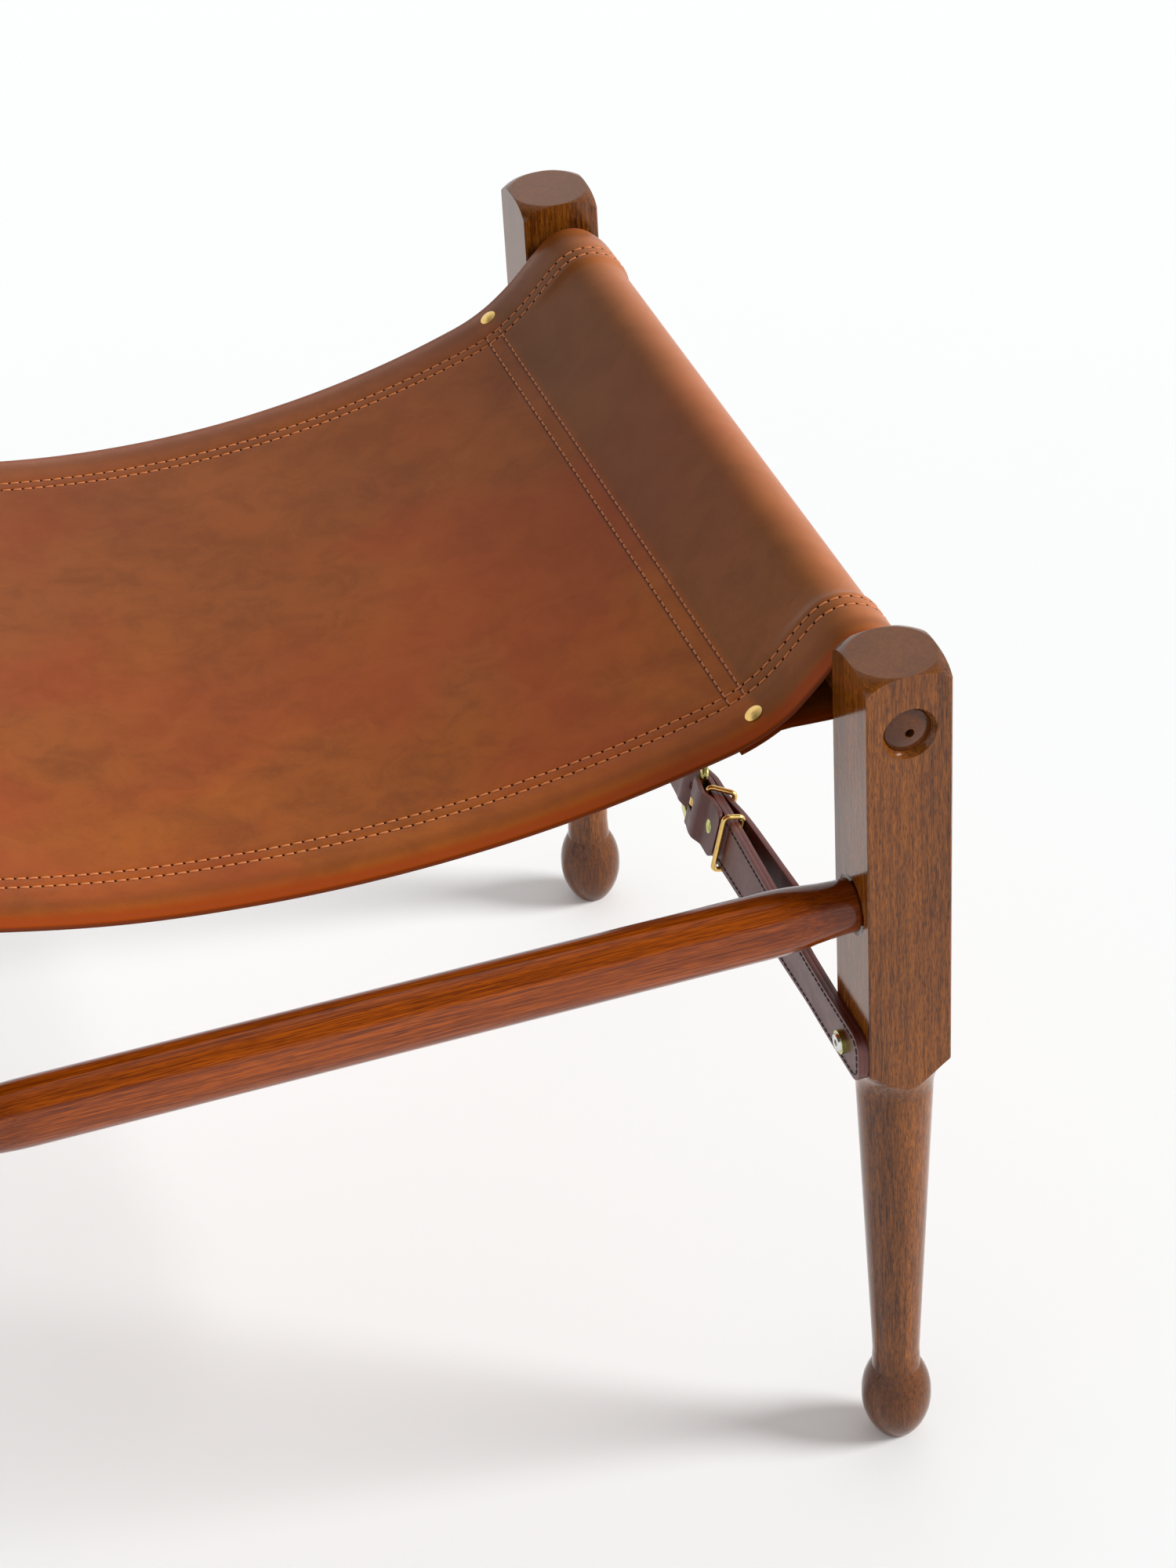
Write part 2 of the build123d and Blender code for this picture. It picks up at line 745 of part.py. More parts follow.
frame_plane = Plane(
    origin=buckle_plane.origin,
    x_dir=buckle_plane.x_dir * cos(radians(frame_angle))
    + buckle_plane.y_dir * sin(radians(frame_angle)),
    z_dir=-buckle_plane.x_dir * sin(radians(frame_angle))
    + buckle_plane.y_dir * cos(radians(frame_angle)),
)


def make_buckle_frame():
    """The flat frame and its round heel bar, drawn in the frame's own plane."""
    inner_half = half_belt + frame_side_clearance
    outer_half = inner_half + frame_bar_width
    reach = frame_reach + frame_bar_width / 2
    inner_reach = reach - frame_bar_width
    outer = Pos((reach - heel_bar_radius) / 2, 0) * RectangleRounded(
        reach + heel_bar_radius, outer_half * 2, frame_corner_radius
    )
    inner = Pos((inner_reach - frame_corner_radius) / 2, 0) * RectangleRounded(
        inner_reach + frame_corner_radius, inner_half * 2, frame_corner_radius / 2
    )
    heel_cut = Pos(-frame_corner_radius, 0) * Rectangle(frame_corner_radius * 2, inner_half * 2)
    ring = extrude(outer - inner - heel_cut, amount=frame_bar_thickness / 2, both=True)
    edges = ring.edges().filter_by(Plane.XY)
    ring = fillet(edges, frame_edge_round)
    bar = Cylinder(heel_bar_radius, inner_half * 2 + frame_edge_round * 2, rotation=(90, 0, 0))
    return frame_plane * (ring + bar)


def make_tongue():
    """The tongue: a ring round the heel bar and a rod that rests on the outer bar."""
    ring = Cylinder(tongue_ring_radius, tongue_ring_width, rotation=(90, 0, 0))
    rest = frame_bar_thickness / 2 + tongue_rest_gap + tongue_radius
    root = tongue_ring_radius - tongue_radius
    length = sqrt(frame_reach**2 + (rest - root) ** 2) + tongue_overhang
    angle = degrees(atan2(rest - root, frame_reach))
    rod = Cylinder(tongue_radius, length, align=(Align.CENTER, Align.CENTER, Align.MIN))
    tip = rod.edges().filter_by(GeomType.CIRCLE).sort_by(Axis.Z)[-1]
    rod = fillet(tip, tongue_radius * tongue_tip_share)
    rod = Pos(0, 0, root) * Rot(0, 90 - angle, 0) * rod
    ring = ring + rod
    ring -= Cylinder(
        heel_bar_radius + heel_bar_clearance, tongue_ring_width * 2, rotation=(90, 0, 0)
    )
    return frame_plane * ring


def wire_loop(plane, width, height):
    """A closed loop of wire: width and height are the clear opening."""
    path = RectangleRounded(
        width + keeper_wire_radius * 2, height + keeper_wire_radius * 2, keeper_corner_radius
    )
    path_wire = (plane * path).face().outer_wire()
    start = path_wire.position_at(0)
    section_plane = Plane(origin=start, z_dir=path_wire.tangent_at(0))
    return sweep(section_plane * Circle(keeper_wire_radius), path=path_wire)


def make_fixed_keeper():
    """The keeper held in the fold, round the near strap and the billet's tail."""
    back_face = fold_inner_radius - layer_gap - belt_layer - keeper_bar_gap
    tail_face = fold_outer_radius + billet_thickness + tail_keeper_gap + keeper_clearance
    width = sqrt((tail_face - back_face) ** 2 + keeper_lean**2)
    lean = atan2(keeper_lean, tail_face - back_face)
    middle = (
        buckle_plane.origin
        - buckle_plane.x_dir * (fixed_keeper_distance + keeper_lean / 2)
        + buckle_plane.y_dir * ((tail_face + back_face) / 2)
    )
    out = buckle_plane.y_dir * cos(lean) - buckle_plane.x_dir * sin(lean)
    up = -buckle_plane.z_dir
    loop_plane = Plane(origin=middle, x_dir=out, z_dir=out.cross(up))
    return wire_loop(loop_plane, width, belt_width + keeper_clearance * 2)


def make_runner():
    """The free keeper, which slides along the near strap."""
    distance = buckle_distance - runner_distance
    middle = fold_inner_radius - layer_gap / 2
    place = upright_plane(distance, belt_tilt(distance), middle)
    width = strap_thickness + runner_clearance * 2
    return wire_loop(place, width, belt_width + keeper_clearance * 2)


def belt_rivet_place():
    """Where the belt's rivet goes: its head on the flap, its shank out through the layers."""
    flap_face_out = fold_inner_radius - strap_thickness - flap_gap
    return (
        buckle_plane * Pos(-belt_rivet_distance, flap_face_out, 0) * Rot(90, 0, 0)
    )


def fixing_place(face_x, y):
    """A belt fixing's place: Z points out of the leg, away from its inner face."""
    return Pos(face_x, y, belt_height) * Rot(0, -90, 0)


def make_bolt():
    """A round-headed bolt with a hexagon socket; its head sits at Z zero, shank below."""
    start = (Align.CENTER, Align.CENTER, Align.MIN)
    head = Cone(bolt_head_radius, bolt_head_top_radius, bolt_head_rise, align=start)
    socket_radius = bolt_socket_width / sqrt(3)
    socket = extrude(RegularPolygon(socket_radius, 6), amount=bolt_socket_depth)
    head -= Pos(0, 0, bolt_head_rise - bolt_socket_depth) * socket
    shank = Cylinder(bolt_radius, bolt_length, align=(Align.CENTER, Align.CENTER, Align.MAX))
    return head + shank


def make_collar():
    """The brass collar between the bolt's head and the belt."""
    start = (Align.CENTER, Align.CENTER, Align.MIN)
    ring = Cylinder(collar_radius, collar_length, align=start)
    return ring - Cylinder(bolt_radius + bolt_hole_clearance, collar_length * 3)


def make_insert():
    """The threaded insert in the leg; its mouth is at Z zero."""
    sleeve = Cylinder(insert_radius, insert_length, align=(Align.CENTER, Align.CENTER, Align.MAX))
    return sleeve - Cylinder(bolt_radius + insert_fit, insert_length * 3)


def at_other_end(shape):
    """The same piece at the stool's left-hand end, turned half round."""
    return Rot(0, 0, 180) * shape


os.makedirs("parts", exist_ok=True)
nodes = {}

right_leg = make_leg()
left_leg = at_other_end(right_leg)
nodes["front_right_leg"] = Pos(half_x, -half_y, 0) * right_leg
nodes["back_right_leg"] = Pos(half_x, half_y, 0) * right_leg
nodes["front_left_leg"] = Pos(-half_x, -half_y, 0) * left_leg
nodes["back_left_leg"] = Pos(-half_x, half_y, 0) * left_leg

stretcher = make_stretcher()
nodes["front_stretcher"] = Pos(0, -half_y, stretcher_height) * stretcher
nodes["back_stretcher"] = Pos(0, half_y, stretcher_height) * stretcher

rail = make_rail()
nodes["right_seat_rail"] = Pos(half_x, 0, rail_height) * rail
nodes["left_seat_rail"] = Pos(-half_x, 0, rail_height) * rail

nodes["seat_sling"] = make_sling()
seat_grip = sling_thickness * 2 + rivet_head_lift
seat_places = [rivet_place(x, y) for x in (-1, 1) for y in (-1, 1)]
nodes["seat_rivets"] = Compound([place * make_rivet(seat_grip) for place in seat_places])
nodes["seat_rivet_washers"] = Compound(
    [place * make_rivet_washer(seat_grip) for place in seat_places]
)

belt_pieces = {
    "buckle_strap": make_buckle_strap(),
    "strap_lining": make_lining(),
    "billet_strap": make_billet(),
    "buckle_frame": make_buckle_frame(),
    "buckle_tongue": make_tongue(),
    "fixed_keeper": make_fixed_keeper(),
    "runner_keeper": make_runner(),
}
for name, piece in belt_pieces.items():
    nodes["right_" + name] = piece
    nodes["left_" + name] = at_other_end(piece)

belt_grip = strap_thickness + flap_gap + belt_layer
belt_rivet = belt_rivet_place() * make_rivet(belt_grip)
belt_washer = belt_rivet_place() * make_rivet_washer(belt_grip)
nodes["belt_rivets"] = Compound([belt_rivet, at_other_end(belt_rivet)])
nodes["belt_rivet_washers"] = Compound([belt_washer, at_other_end(belt_washer)])

bolts = []
collars = []
inserts = []
for y, thickness in ((-half_y, strap_thickness), (half_y, billet_thickness)):
    outside = fixing_place(leg_face - thickness, y)
    collars.append(outside * make_collar())
    bolts.append(outside * Pos(0, 0, collar_length) * make_bolt())
    inserts.append(fixing_place(leg_face, y) * make_insert())
for name, pieces in (
    ("belt_bolts", bolts),
    ("belt_collars", collars),
    ("threaded_inserts", inserts),
):
    nodes[name] = Compound(pieces + [at_other_end(piece) for piece in pieces])

for name, shape in nodes.items():
    export_step(shape, os.path.join("parts", name + ".step"))
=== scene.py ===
from math import acos, atan2, ceil, cos, exp, pi, radians, sin, sqrt

import bmesh
import bpy
from mathutils import Matrix, Vector, noise


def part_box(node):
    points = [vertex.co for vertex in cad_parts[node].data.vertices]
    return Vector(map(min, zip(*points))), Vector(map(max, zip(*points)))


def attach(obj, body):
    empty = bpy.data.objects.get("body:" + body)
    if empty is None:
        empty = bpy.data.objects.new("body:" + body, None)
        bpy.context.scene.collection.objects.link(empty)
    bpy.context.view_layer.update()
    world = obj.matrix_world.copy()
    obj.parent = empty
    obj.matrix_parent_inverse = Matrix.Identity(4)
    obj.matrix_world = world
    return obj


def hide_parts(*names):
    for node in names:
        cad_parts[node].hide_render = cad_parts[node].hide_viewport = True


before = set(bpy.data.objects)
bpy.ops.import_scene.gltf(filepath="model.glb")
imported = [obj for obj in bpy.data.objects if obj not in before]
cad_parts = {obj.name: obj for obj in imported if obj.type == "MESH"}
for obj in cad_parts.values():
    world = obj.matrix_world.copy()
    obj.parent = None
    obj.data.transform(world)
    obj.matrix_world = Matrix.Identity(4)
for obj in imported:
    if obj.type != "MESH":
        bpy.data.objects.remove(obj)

bl_info = {
    "name": "Safari Stool",
    "version": (1, 0, 0),
    "blender": (4, 5, 0),
    "location": "3D View > Sidebar > Stool",
    "description": "Dresses a knock-down stool in turned wood, sling leather, belts and brass",
    "category": "Object",
}

MM = 0.001
TINY = 1e-9
ENDS = ("right", "left")
HALF_ROUND = Matrix.Rotation(pi, 4, "Z")
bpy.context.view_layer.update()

# Places read from the construction
rail_low, rail_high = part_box("right_seat_rail")
sling_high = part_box("seat_sling")[1]
leg_low, leg_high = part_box("front_right_leg")
collars_low, collars_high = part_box("belt_collars")
RAIL_X = (rail_low.x + rail_high.x) / 2
RAIL_Z = (rail_low.z + rail_high.z) / 2
SLEEVE_RADIUS = sling_high.x - RAIL_X
SLING_HALF_WIDTH = sling_high.y
LEG_FACE_X = leg_low.x
LEG_Y = -(leg_low.y + leg_high.y) / 2
HALF_LEG = (leg_high.x - leg_low.x) / 2
BELT_Z = (collars_low.z + collars_high.z) / 2


def tint(red, green, blue):
    """A linear colour from the values that a screen shows, each from 0 to 255."""
    linear = []
    for value in (red, green, blue):
        share = value / 255
        linear.append(share / 12.92 if share <= 0.04045 else ((share + 0.055) / 1.055) ** 2.4)
    return linear


def length(label, description, millimetres):
    """A length that a user may change."""
    return bpy.props.FloatProperty(
        name=label, description=description, default=millimetres * MM, min=0, precision=5,
        subtype="DISTANCE",
    )


def angle(label, description, degrees):
    """An angle that a user may change."""
    return bpy.props.FloatProperty(
        name=label, description=description, default=radians(degrees), subtype="ANGLE"
    )


def colour(label, description, screen_values):
    """A colour that a user may change."""
    return bpy.props.FloatVectorProperty(
        name=label, description=description, default=tint(*screen_values), size=3, min=0, max=1,
        subtype="COLOR",
    )


def strength(label, description, default):
    """The strength of a light that a user may change."""
    return bpy.props.FloatProperty(name=label, description=description, default=default, min=0)


class SeatSettings(bpy.types.PropertyGroup):
    """Sizes of the sling seat and its sewing"""

    thickness: length("Thickness", "Thickness of the seat leather", 3.1)
    drop: length("Drop", "How far the middle hangs below the rails' axes", 45.5)
    leave: angle("Leave angle", "Slope at which the seat leaves the rail", 42)
    bend: angle("Bend angle", "Slope at which the wide arc of the seat ends", 17)
    knee_radius: length("Knee radius", "Radius of the bend at the seam", 78)
    join: angle("Join angle", "Slope where the returned leaf meets the sheet", 34.2)
    leaf_end: angle("Leaf end angle", "Slope where the returned leaf ends", 20)
    waist: length("Waist", "How far each side is drawn in at the middle", 6.7)
    hem_width: length("Hem width", "Width of the turned-under hem", 37)
    hem_thickness: length("Hem thickness", "Thickness of the turned-under hem", 1.5)
    edge_roll: length("Edge roll", "How far in from the edge the fold rounds over", 3.4)
    edge_fall: length("Edge fall", "How far the leather falls away before the fold", 2.6)
    edge_slope: length("Edge slope", "How far in from the edge the fall starts", 15)
    outer_row: length("Outer row", "First row of stitches, from the edge", 27)
    inner_row: length("Inner row", "Second row of stitches, from the edge", 33.5)
    first_seam: angle("First seam angle", "Slope at the seam's row nearer the middle", 25.3)
    second_seam: angle("Second seam angle", "Slope at the seam's row nearer the rail", 31.1)
    furrow: length("Furrow", "How deep the stitches draw the leather in", 0.35)
    furrow_width: length("Furrow width", "Half the width of the drawn-in furrow", 1.0)
    wander: length("Wander", "How far the leather strays from a true curve", 0.5)


class BeltSettings(bpy.types.PropertyGroup):
    """Sizes of the buckled belts"""

    width: length("Width", "Width of every strap", 25.5)
    layer: length("Layer", "Thickness of each layer of the near strap", 2.4)
    layer_gap: length("Layer gap", "Space between the near strap's layers", 0.05)
    billet: length("Billet", "Thickness of the far strap", 2.8)
    end_reach: length("End reach", "Leather past the bolt at a leg", 18.5)
    end_round: length("End round", "Corner radius at a leg", 8.5)
    buckle_distance: length("Buckle distance", "From the near leg's axis to the heel bar", 195)
    outset: length("Outset", "How far the buckle stands out of the legs' line", 2.3)
    tilt: angle("Tilt", "How far the buckle leans out at its top", 14.5)
    twist_start: length("Twist start", "Where the near strap starts to lean", 45)
    flap: length("Flap", "Length of the flap turned back behind the buckle", 32.5)
    bulge: length("Bulge", "How far the flap stands off over the fixed keeper", 1.3)
    flap_corner: length("Flap corner", "Radius of the flap's corners", 5.5)
    flap_gap: length("Flap gap", "Space between the flap and the lining", 0.3)
    lining_gap: length("Lining gap", "Where the lining ends before the heel bar", 6.5)
    heel_bar: length("Heel bar", "Inner radius of the fold round the heel bar", 2.08)
    frame_reach: length("Frame reach", "From the heel bar to the frame's outer bar", 22)
    frame_bar: length("Frame bar", "Width of the frame's bars", 4.4)
    frame_thickness: length("Frame thickness", "Thickness of the frame", 3.4)
    frame_angle: angle("Frame angle", "How far the frame swings out of the belt", 11.6)
    under_frame: length("Under frame", "Space between the billet and the frame", 0.35)
    over_heel: length("Over heel", "Space between the billet and the fold", 0.6)
    tail: length("Tail", "Length of the billet's loose tail", 109)
    tail_lift: length("Tail lift", "How far the tail stands off the near strap", 4.6)
    tail_gap: length("Tail gap", "Space between the tail and the near strap at the keeper", 0.7)
    tail_end_lift: length("Tail end lift", "How far the tail's end stands off", 7.4)
    tail_point: length("Tail point", "Length of the tail's point", 14)
    tail_tip: length("Tail tip", "Half the width of the point's blunt tip", 1.2)
    edge_ease: length("Edge ease", "How much the cut edges are rounded", 0.45)
    stitch_inset: length("Stitch inset", "Stitches, from the strap's edge", 2.6)
    stitch_stop: length("Stitch stop", "Where the stitches end before the flap", 2)


class ThreadSettings(bpy.types.PropertyGroup):
    """Sizes and colours of the sewing threads"""

    seat_pitch: length("Seat pitch", "From one seat stitch to the next", 5.2)
    seat_radius: length("Seat thread radius", "Radius of the seat's thread", 0.45)
    hole_radius: length("Hole radius", "Radius of the needle's holes in the seat", 0.75)
    belt_pitch: length("Belt pitch", "From one belt stitch to the next", 3.9)
    belt_radius: length("Belt thread radius", "Radius of the belts' thread", 0.32)
    seat_colour: colour("Seat thread", "Colour of the seat's thread", (220, 130, 68))
    belt_colour: colour("Belt thread", "Colour of the belts' thread", (38, 18, 16))
    # The needle's holes are dark lozenges of painted shade
    hole_shade_colour: colour("Needle hole", "Colour inside the needle's holes", (44, 18, 8))


class FinishSettings(bpy.types.PropertyGroup):
    """Colours of the wood, the leathers and the metals"""

    wood_light: colour("Wood light", "The paler fibres", (142, 80, 22))
    wood_dark: colour("Wood dark", "The darker fibres", (62, 27, 6))
    wood_pore: colour("Wood pores", "The open pores", (54, 25, 6))
    bar_light: colour("Bar light", "Paler fibres of the turned bars", (164, 76, 4))
    bar_dark: colour("Bar dark", "Darker fibres of the turned bars", (84, 29, 1))
    rail_light: colour("Seat rail light", "Paler fibres of the seat rails", (126, 68, 26))
    rail_dark: colour("Seat rail dark", "Darker fibres of the seat rails", (48, 20, 6))
    seat_light: colour("Seat light", "The paler hide of the seat", (164, 84, 13))
    seat_dark: colour("Seat dark", "The darker hide of the seat", (110, 53, 8))
    seat_blush: colour("Seat blush", "The redder patches of the hide", (152, 56, 14))
    # Painted highlight along the fold at the seat's edge
    seat_edge_highlight: colour("Seat edge", "The hide where it folds over", (148, 56, 0))
    seat_line: colour("Seat line", "The dark line along the very edge", (60, 24, 6))
    # Painted shade in the stitched furrows
    seat_furrow_shade: colour("Seat furrow", "The hide in the stitched furrows", (48, 20, 10))
    # Painted shade on the hide between the seam and the sleeve, which faces away from the key
    seat_panel_shade: colour("Seat panel", "The oiled hide between the seam and the sleeve", (90, 57, 20))
    # Painted highlight on top of the sleeve
    seat_crest_highlight: colour("Seat crest", "The hide highlighted pale on top of the sleeve", (196, 122, 78))
    belt_light: colour("Belt light", "The paler hide of the belts", (100, 44, 36))
    belt_dark: colour("Belt dark", "The darker hide of the belts", (58, 20, 16))
    belt_edge: colour("Belt edge", "The cut edges of the belts", (136, 62, 44))
    brass: colour("Brass", "Polished brass", (232, 194, 116))
    olive: colour("Olive brass", "Passivated brass", (190, 192, 116))
    steel: colour("Steel", "Plated steel", (214, 214, 210))


class StageSettings(bpy.types.PropertyGroup):
    """The floor, the lights and the camera"""

    floor_half: length("Floor half width", "Half the width of the floor", 9000)
    floor_colour: colour("Floor", "Colour of the floor", (251, 253, 253))
    walls: strength("Walls", "Strength of the pale walls all round", 1.03)
    ceiling_front: strength("Front ceiling", "Strength of the ceiling at the front", 0.14)
    ceiling_back: strength("Back ceiling", "Strength of the ceiling at the back", 0.8)
    key: strength("Key", "Strength of the broad light from the right", 3.1)
    key_turn: angle("Key turn", "Where the key stands, round from +X towards -Y", 22)
    key_height: angle("Key height", "How high the key stands", 29)
    key_spread: angle("Key spread", "How broad the key is", 21)
    camera_place: bpy.props.FloatVectorProperty(
        name="Camera place", description="Where the camera stands", size=3,
        default=(-0.2859, -1.4760, 1.3590), subtype="TRANSLATION", unit="LENGTH",
    )
    camera_yaw: angle("Camera yaw", "Turn from +Y towards +X", 16.654)
    camera_pitch: angle("Camera pitch", "How far the camera looks down", 35.791)
    camera_roll: angle("Camera roll", "Roll about the line of sight", -3.563)
    camera_lens: bpy.props.FloatProperty(
        name="Camera lens", description="Focal length, for a 36 mm long side", default=89.41,
        min=1, subtype="DISTANCE_CAMERA",
    )


def eased(value, low, high):
    """0 below low, 1 above high, and a smooth step between."""
    share = min(max((value - low) / (high - low), 0), 1)
    return share * share * (3 - 2 * share)


def spaced(low, high, step):
    """Evenly spaced values from low to high, no further apart than the step."""
    count = max(1, ceil(abs(high - low) / step - TINY))
    return [low + (high - low) * index / count for index in range(count + 1)]


def between(first, second, share):
    """The place at a share of the way from one place to another."""
    return tuple(start + (stop - start) * share for start, stop in zip(first, second))


def new_object(name, data):
    """An object in the scene."""
    item = bpy.data.objects.new(name, data)
    bpy.context.scene.collection.objects.link(item)
    return item


def new_piece(name, mesh, materials):
    """An object that shows a mesh, rides on the stool and takes its finish from a slot."""
    piece = new_object(name, mesh)
    for material in materials:
        mesh.materials.append(material)
    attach(piece, "stool")
    return piece


def new_mesh(name, points, faces):
    """A mesh from its points and its faces."""
    mesh = bpy.data.meshes.new(name)
    mesh.from_pydata([tuple(point) for point in points], [], faces)
    return mesh


def smooth_mesh(name, points, faces):
    """A smooth-shaded mesh without loose points, with its faces turned outwards."""
    mesh = new_mesh(name, points, faces)
    shape = bmesh.new()
    shape.from_mesh(mesh)
    bmesh.ops.recalc_face_normals(shape, faces=shape.faces)
    loose = [vertex for vertex in shape.verts if not vertex.link_faces]
    bmesh.ops.delete(shape, geom=loose, context="VERTS")
    shape.to_mesh(mesh)
    shape.free()
    mesh.shade_smooth()
    return mesh


def ring_faces(start, count):
    """Faces between a ring of points and the ring after it."""
    faces = []
    for step in range(count):
        after = (step + 1) % count
        faces.append((start + step, start + after, start + count + after, start + count + step))
    return faces


# Materials

# Noise: its scale or its scale along each axis, its detail, its roughness and its distortion
FIGURE = ((46, 46, 2.6), 2.0, 0.5, 0.6)
FIBRE = ((560, 560, 19), 3.0, 0.6, 0.2)
FLECK = ((1500, 1500, 100), 3.0, 0.65, 0.0)
PORE = ((3000, 3000, 240), 1.0, 0.5, 0.0)
CLOUD = (9.0, 3.0, 0.5, 0.4)
MOTTLE = (46.0, 7.0, 0.68, 0.5)
SMUDGE = ((34, 70, 50), 6.0, 0.62, 0.5)
SCUFF = ((70, 260, 180), 4.0, 0.6, 0.6)
SKIN = (1500.0, 2.0, 0.6, 0.0)
PATCH = (6.5, 3.0, 0.55, 0.4)
TARNISH = (240.0, 3.0, 0.6, 0.0)
RUBBING = ((2400, 900, 900), 2.0, 0.6, 0.0)
PEBBLE_SCALE = 900.0
PLY_SCALE = 620.0
PLY_DISTORTION = 2.0

# Ramps: the two values between which each one rises or falls, and what it gives at both
FIGURE_TONE = (0.36, 0.66, 0.0, 0.28)
FIBRE_TONE = (0.40, 0.62, 0.0, 0.32)
FLECK_TONE = (0.42, 0.60, 0.0, 0.40)
PORE_OPENING = (0.52, 0.62, 0.0, 1.0)
PORE_GLOSS = (0.0, 1.0, 0.34, 0.52)
END_GRAIN_TONE = (0.75, 0.97, 0.0, 0.58)
CLOUD_TONE = (0.33, 0.67, 0.0, 0.40)
MOTTLE_TONE = (0.35, 0.68, 0.0, 0.35)
SMUDGE_TONE = (0.56, 0.72, 0.0, 0.25)
SCUFF_TONE = (0.60, 0.76, 0.0, 0.20)
SKIN_TONE = (0.35, 0.70, 0.93, 1.05)
HIDE_GLOSS = (0.30, 0.70, 0.40, 0.52)
PATCH_TONE = (0.42, 0.62, 0.0, 0.50)
TARNISH_TONE = (0.45, 0.75, 0.0, 0.55)
METAL_GLOSS = (0.30, 0.75, 0.14, 0.30)

# Ramps over places in metres: from the front to the back of the seat, in from its edge, and over
# a leg's height or the reach of a bar or a rail
BACK_TONE = (-0.15, 0.18, 0.0, 0.45)
# A painted highlight along the seat's folded edge: in from the edge, and fading towards the back of
# the seat
BACK_HIGHLIGHT_FADE = (-0.15, 0.15, 1.0, 0.25)
EDGE_HIGHLIGHT = (4 * MM, 10 * MM, 0.85, 0.0)
EDGE_LINE = (0.3 * MM, 1.6 * MM, 0.7, 0.0)
# Darker wood over a ramp: towards the bottom of a leg; at the stretchers' shoulders, a painted shadow
# cast by the legs; and at the rails' tenon ends
FOOT_DARKENING = (56 * MM, 36 * MM, 0.0, 0.45)
SHOULDER_SHADOW = (LEG_FACE_X - 60 * MM, LEG_FACE_X - 8 * MM, 0.0, 0.55)
TENON_SOAKED = (LEG_Y, LEG_Y + 10 * MM, 0.0, 0.30)

# Where the painted shade of the panel sets in past the second seam, and where it fades past the
# sleeve's start
PANEL_START = (-1 * MM, 5 * MM)
PANEL_STOP = (6 * MM, 22 * MM)

# Bands: the painted highlight's on the crest, the painted shade's along the hem, and how far in from
# the outer row the seams' painted shade begins
CREST_HALF_WIDTH = 22 * MM
HEM_SHADE_PLACE = 13 * MM
HEM_SHADE_HALF_WIDTH = 7 * MM
SEAM_ONSET = 1 * MM

# How much of a tone shows, or is left of a colour that is darkened
PORE_SHARE = 0.62
# Painted shade on the panel past the seam
PANEL_SHADE_SHARE = 0.5
# Painted highlight on the sleeve's crest
CREST_HIGHLIGHT_SHARE = 0.5
HEM_SHADE_SHARE = 0.4
# Painted shade in the stitched furrows
FURROW_SHADE_SHARE = 0.6
END_GRAIN_LIGHT_SHARE = 0.38
DULL_BRASS_SHARE = 0.7
DULL_STEEL_SHARE = 0.6
# How much of the thread's colour is left in the grooves between plies: painted shade
PLY_GROOVE_SHADE_SHARE = 0.55

# The grain's scale along each axis, even or drawn out along the bars
EVEN = (1, 1, 1)
LONG_GRAIN = (0.35, 1, 1)

# Relief: its strength and its depth, and how much of a pattern goes into it
WOOD_RELIEF = (0.35, 0.15 * MM)
SEAT_RELIEF = (0.22, 0.12 * MM)
BELT_RELIEF = (0.3, 0.12 * MM)
METAL_RELIEF = (0.08, 0.02 * MM)
THREAD_RELIEF = (0.4, 0.1 * MM)
FIBRE_RELIEF_SHARE = 0.3
HIDE_RELIEF_SHARE = 0.5

# Fixed values of the shaders
WAX = {"Specular IOR Level": 0.0, "Coat Weight": 1.0, "Coat IOR": 1.43, "Coat Roughness": 0.14}
SEAT_OIL = {"Specular IOR Level": 0.05, "Coat Weight": 0.36, "Coat IOR": 1.3, "Coat Roughness": 0.25}
BELT_OIL = {"Specular IOR Level": 0.4, "Coat Weight": 0.2, "Coat Roughness": 0.3}
METAL = {"Metallic": 1.0}
THREAD_ROUGHNESS = 0.55
HOLE_ROUGHNESS = 0.9


def opaque(rgb):
    """A colour with full alpha."""
    return (*rgb[:3], 1.0)


def shaded(rgb, share):
    """A colour darkened to a share of itself."""
    return tuple(value * share for value in rgb)


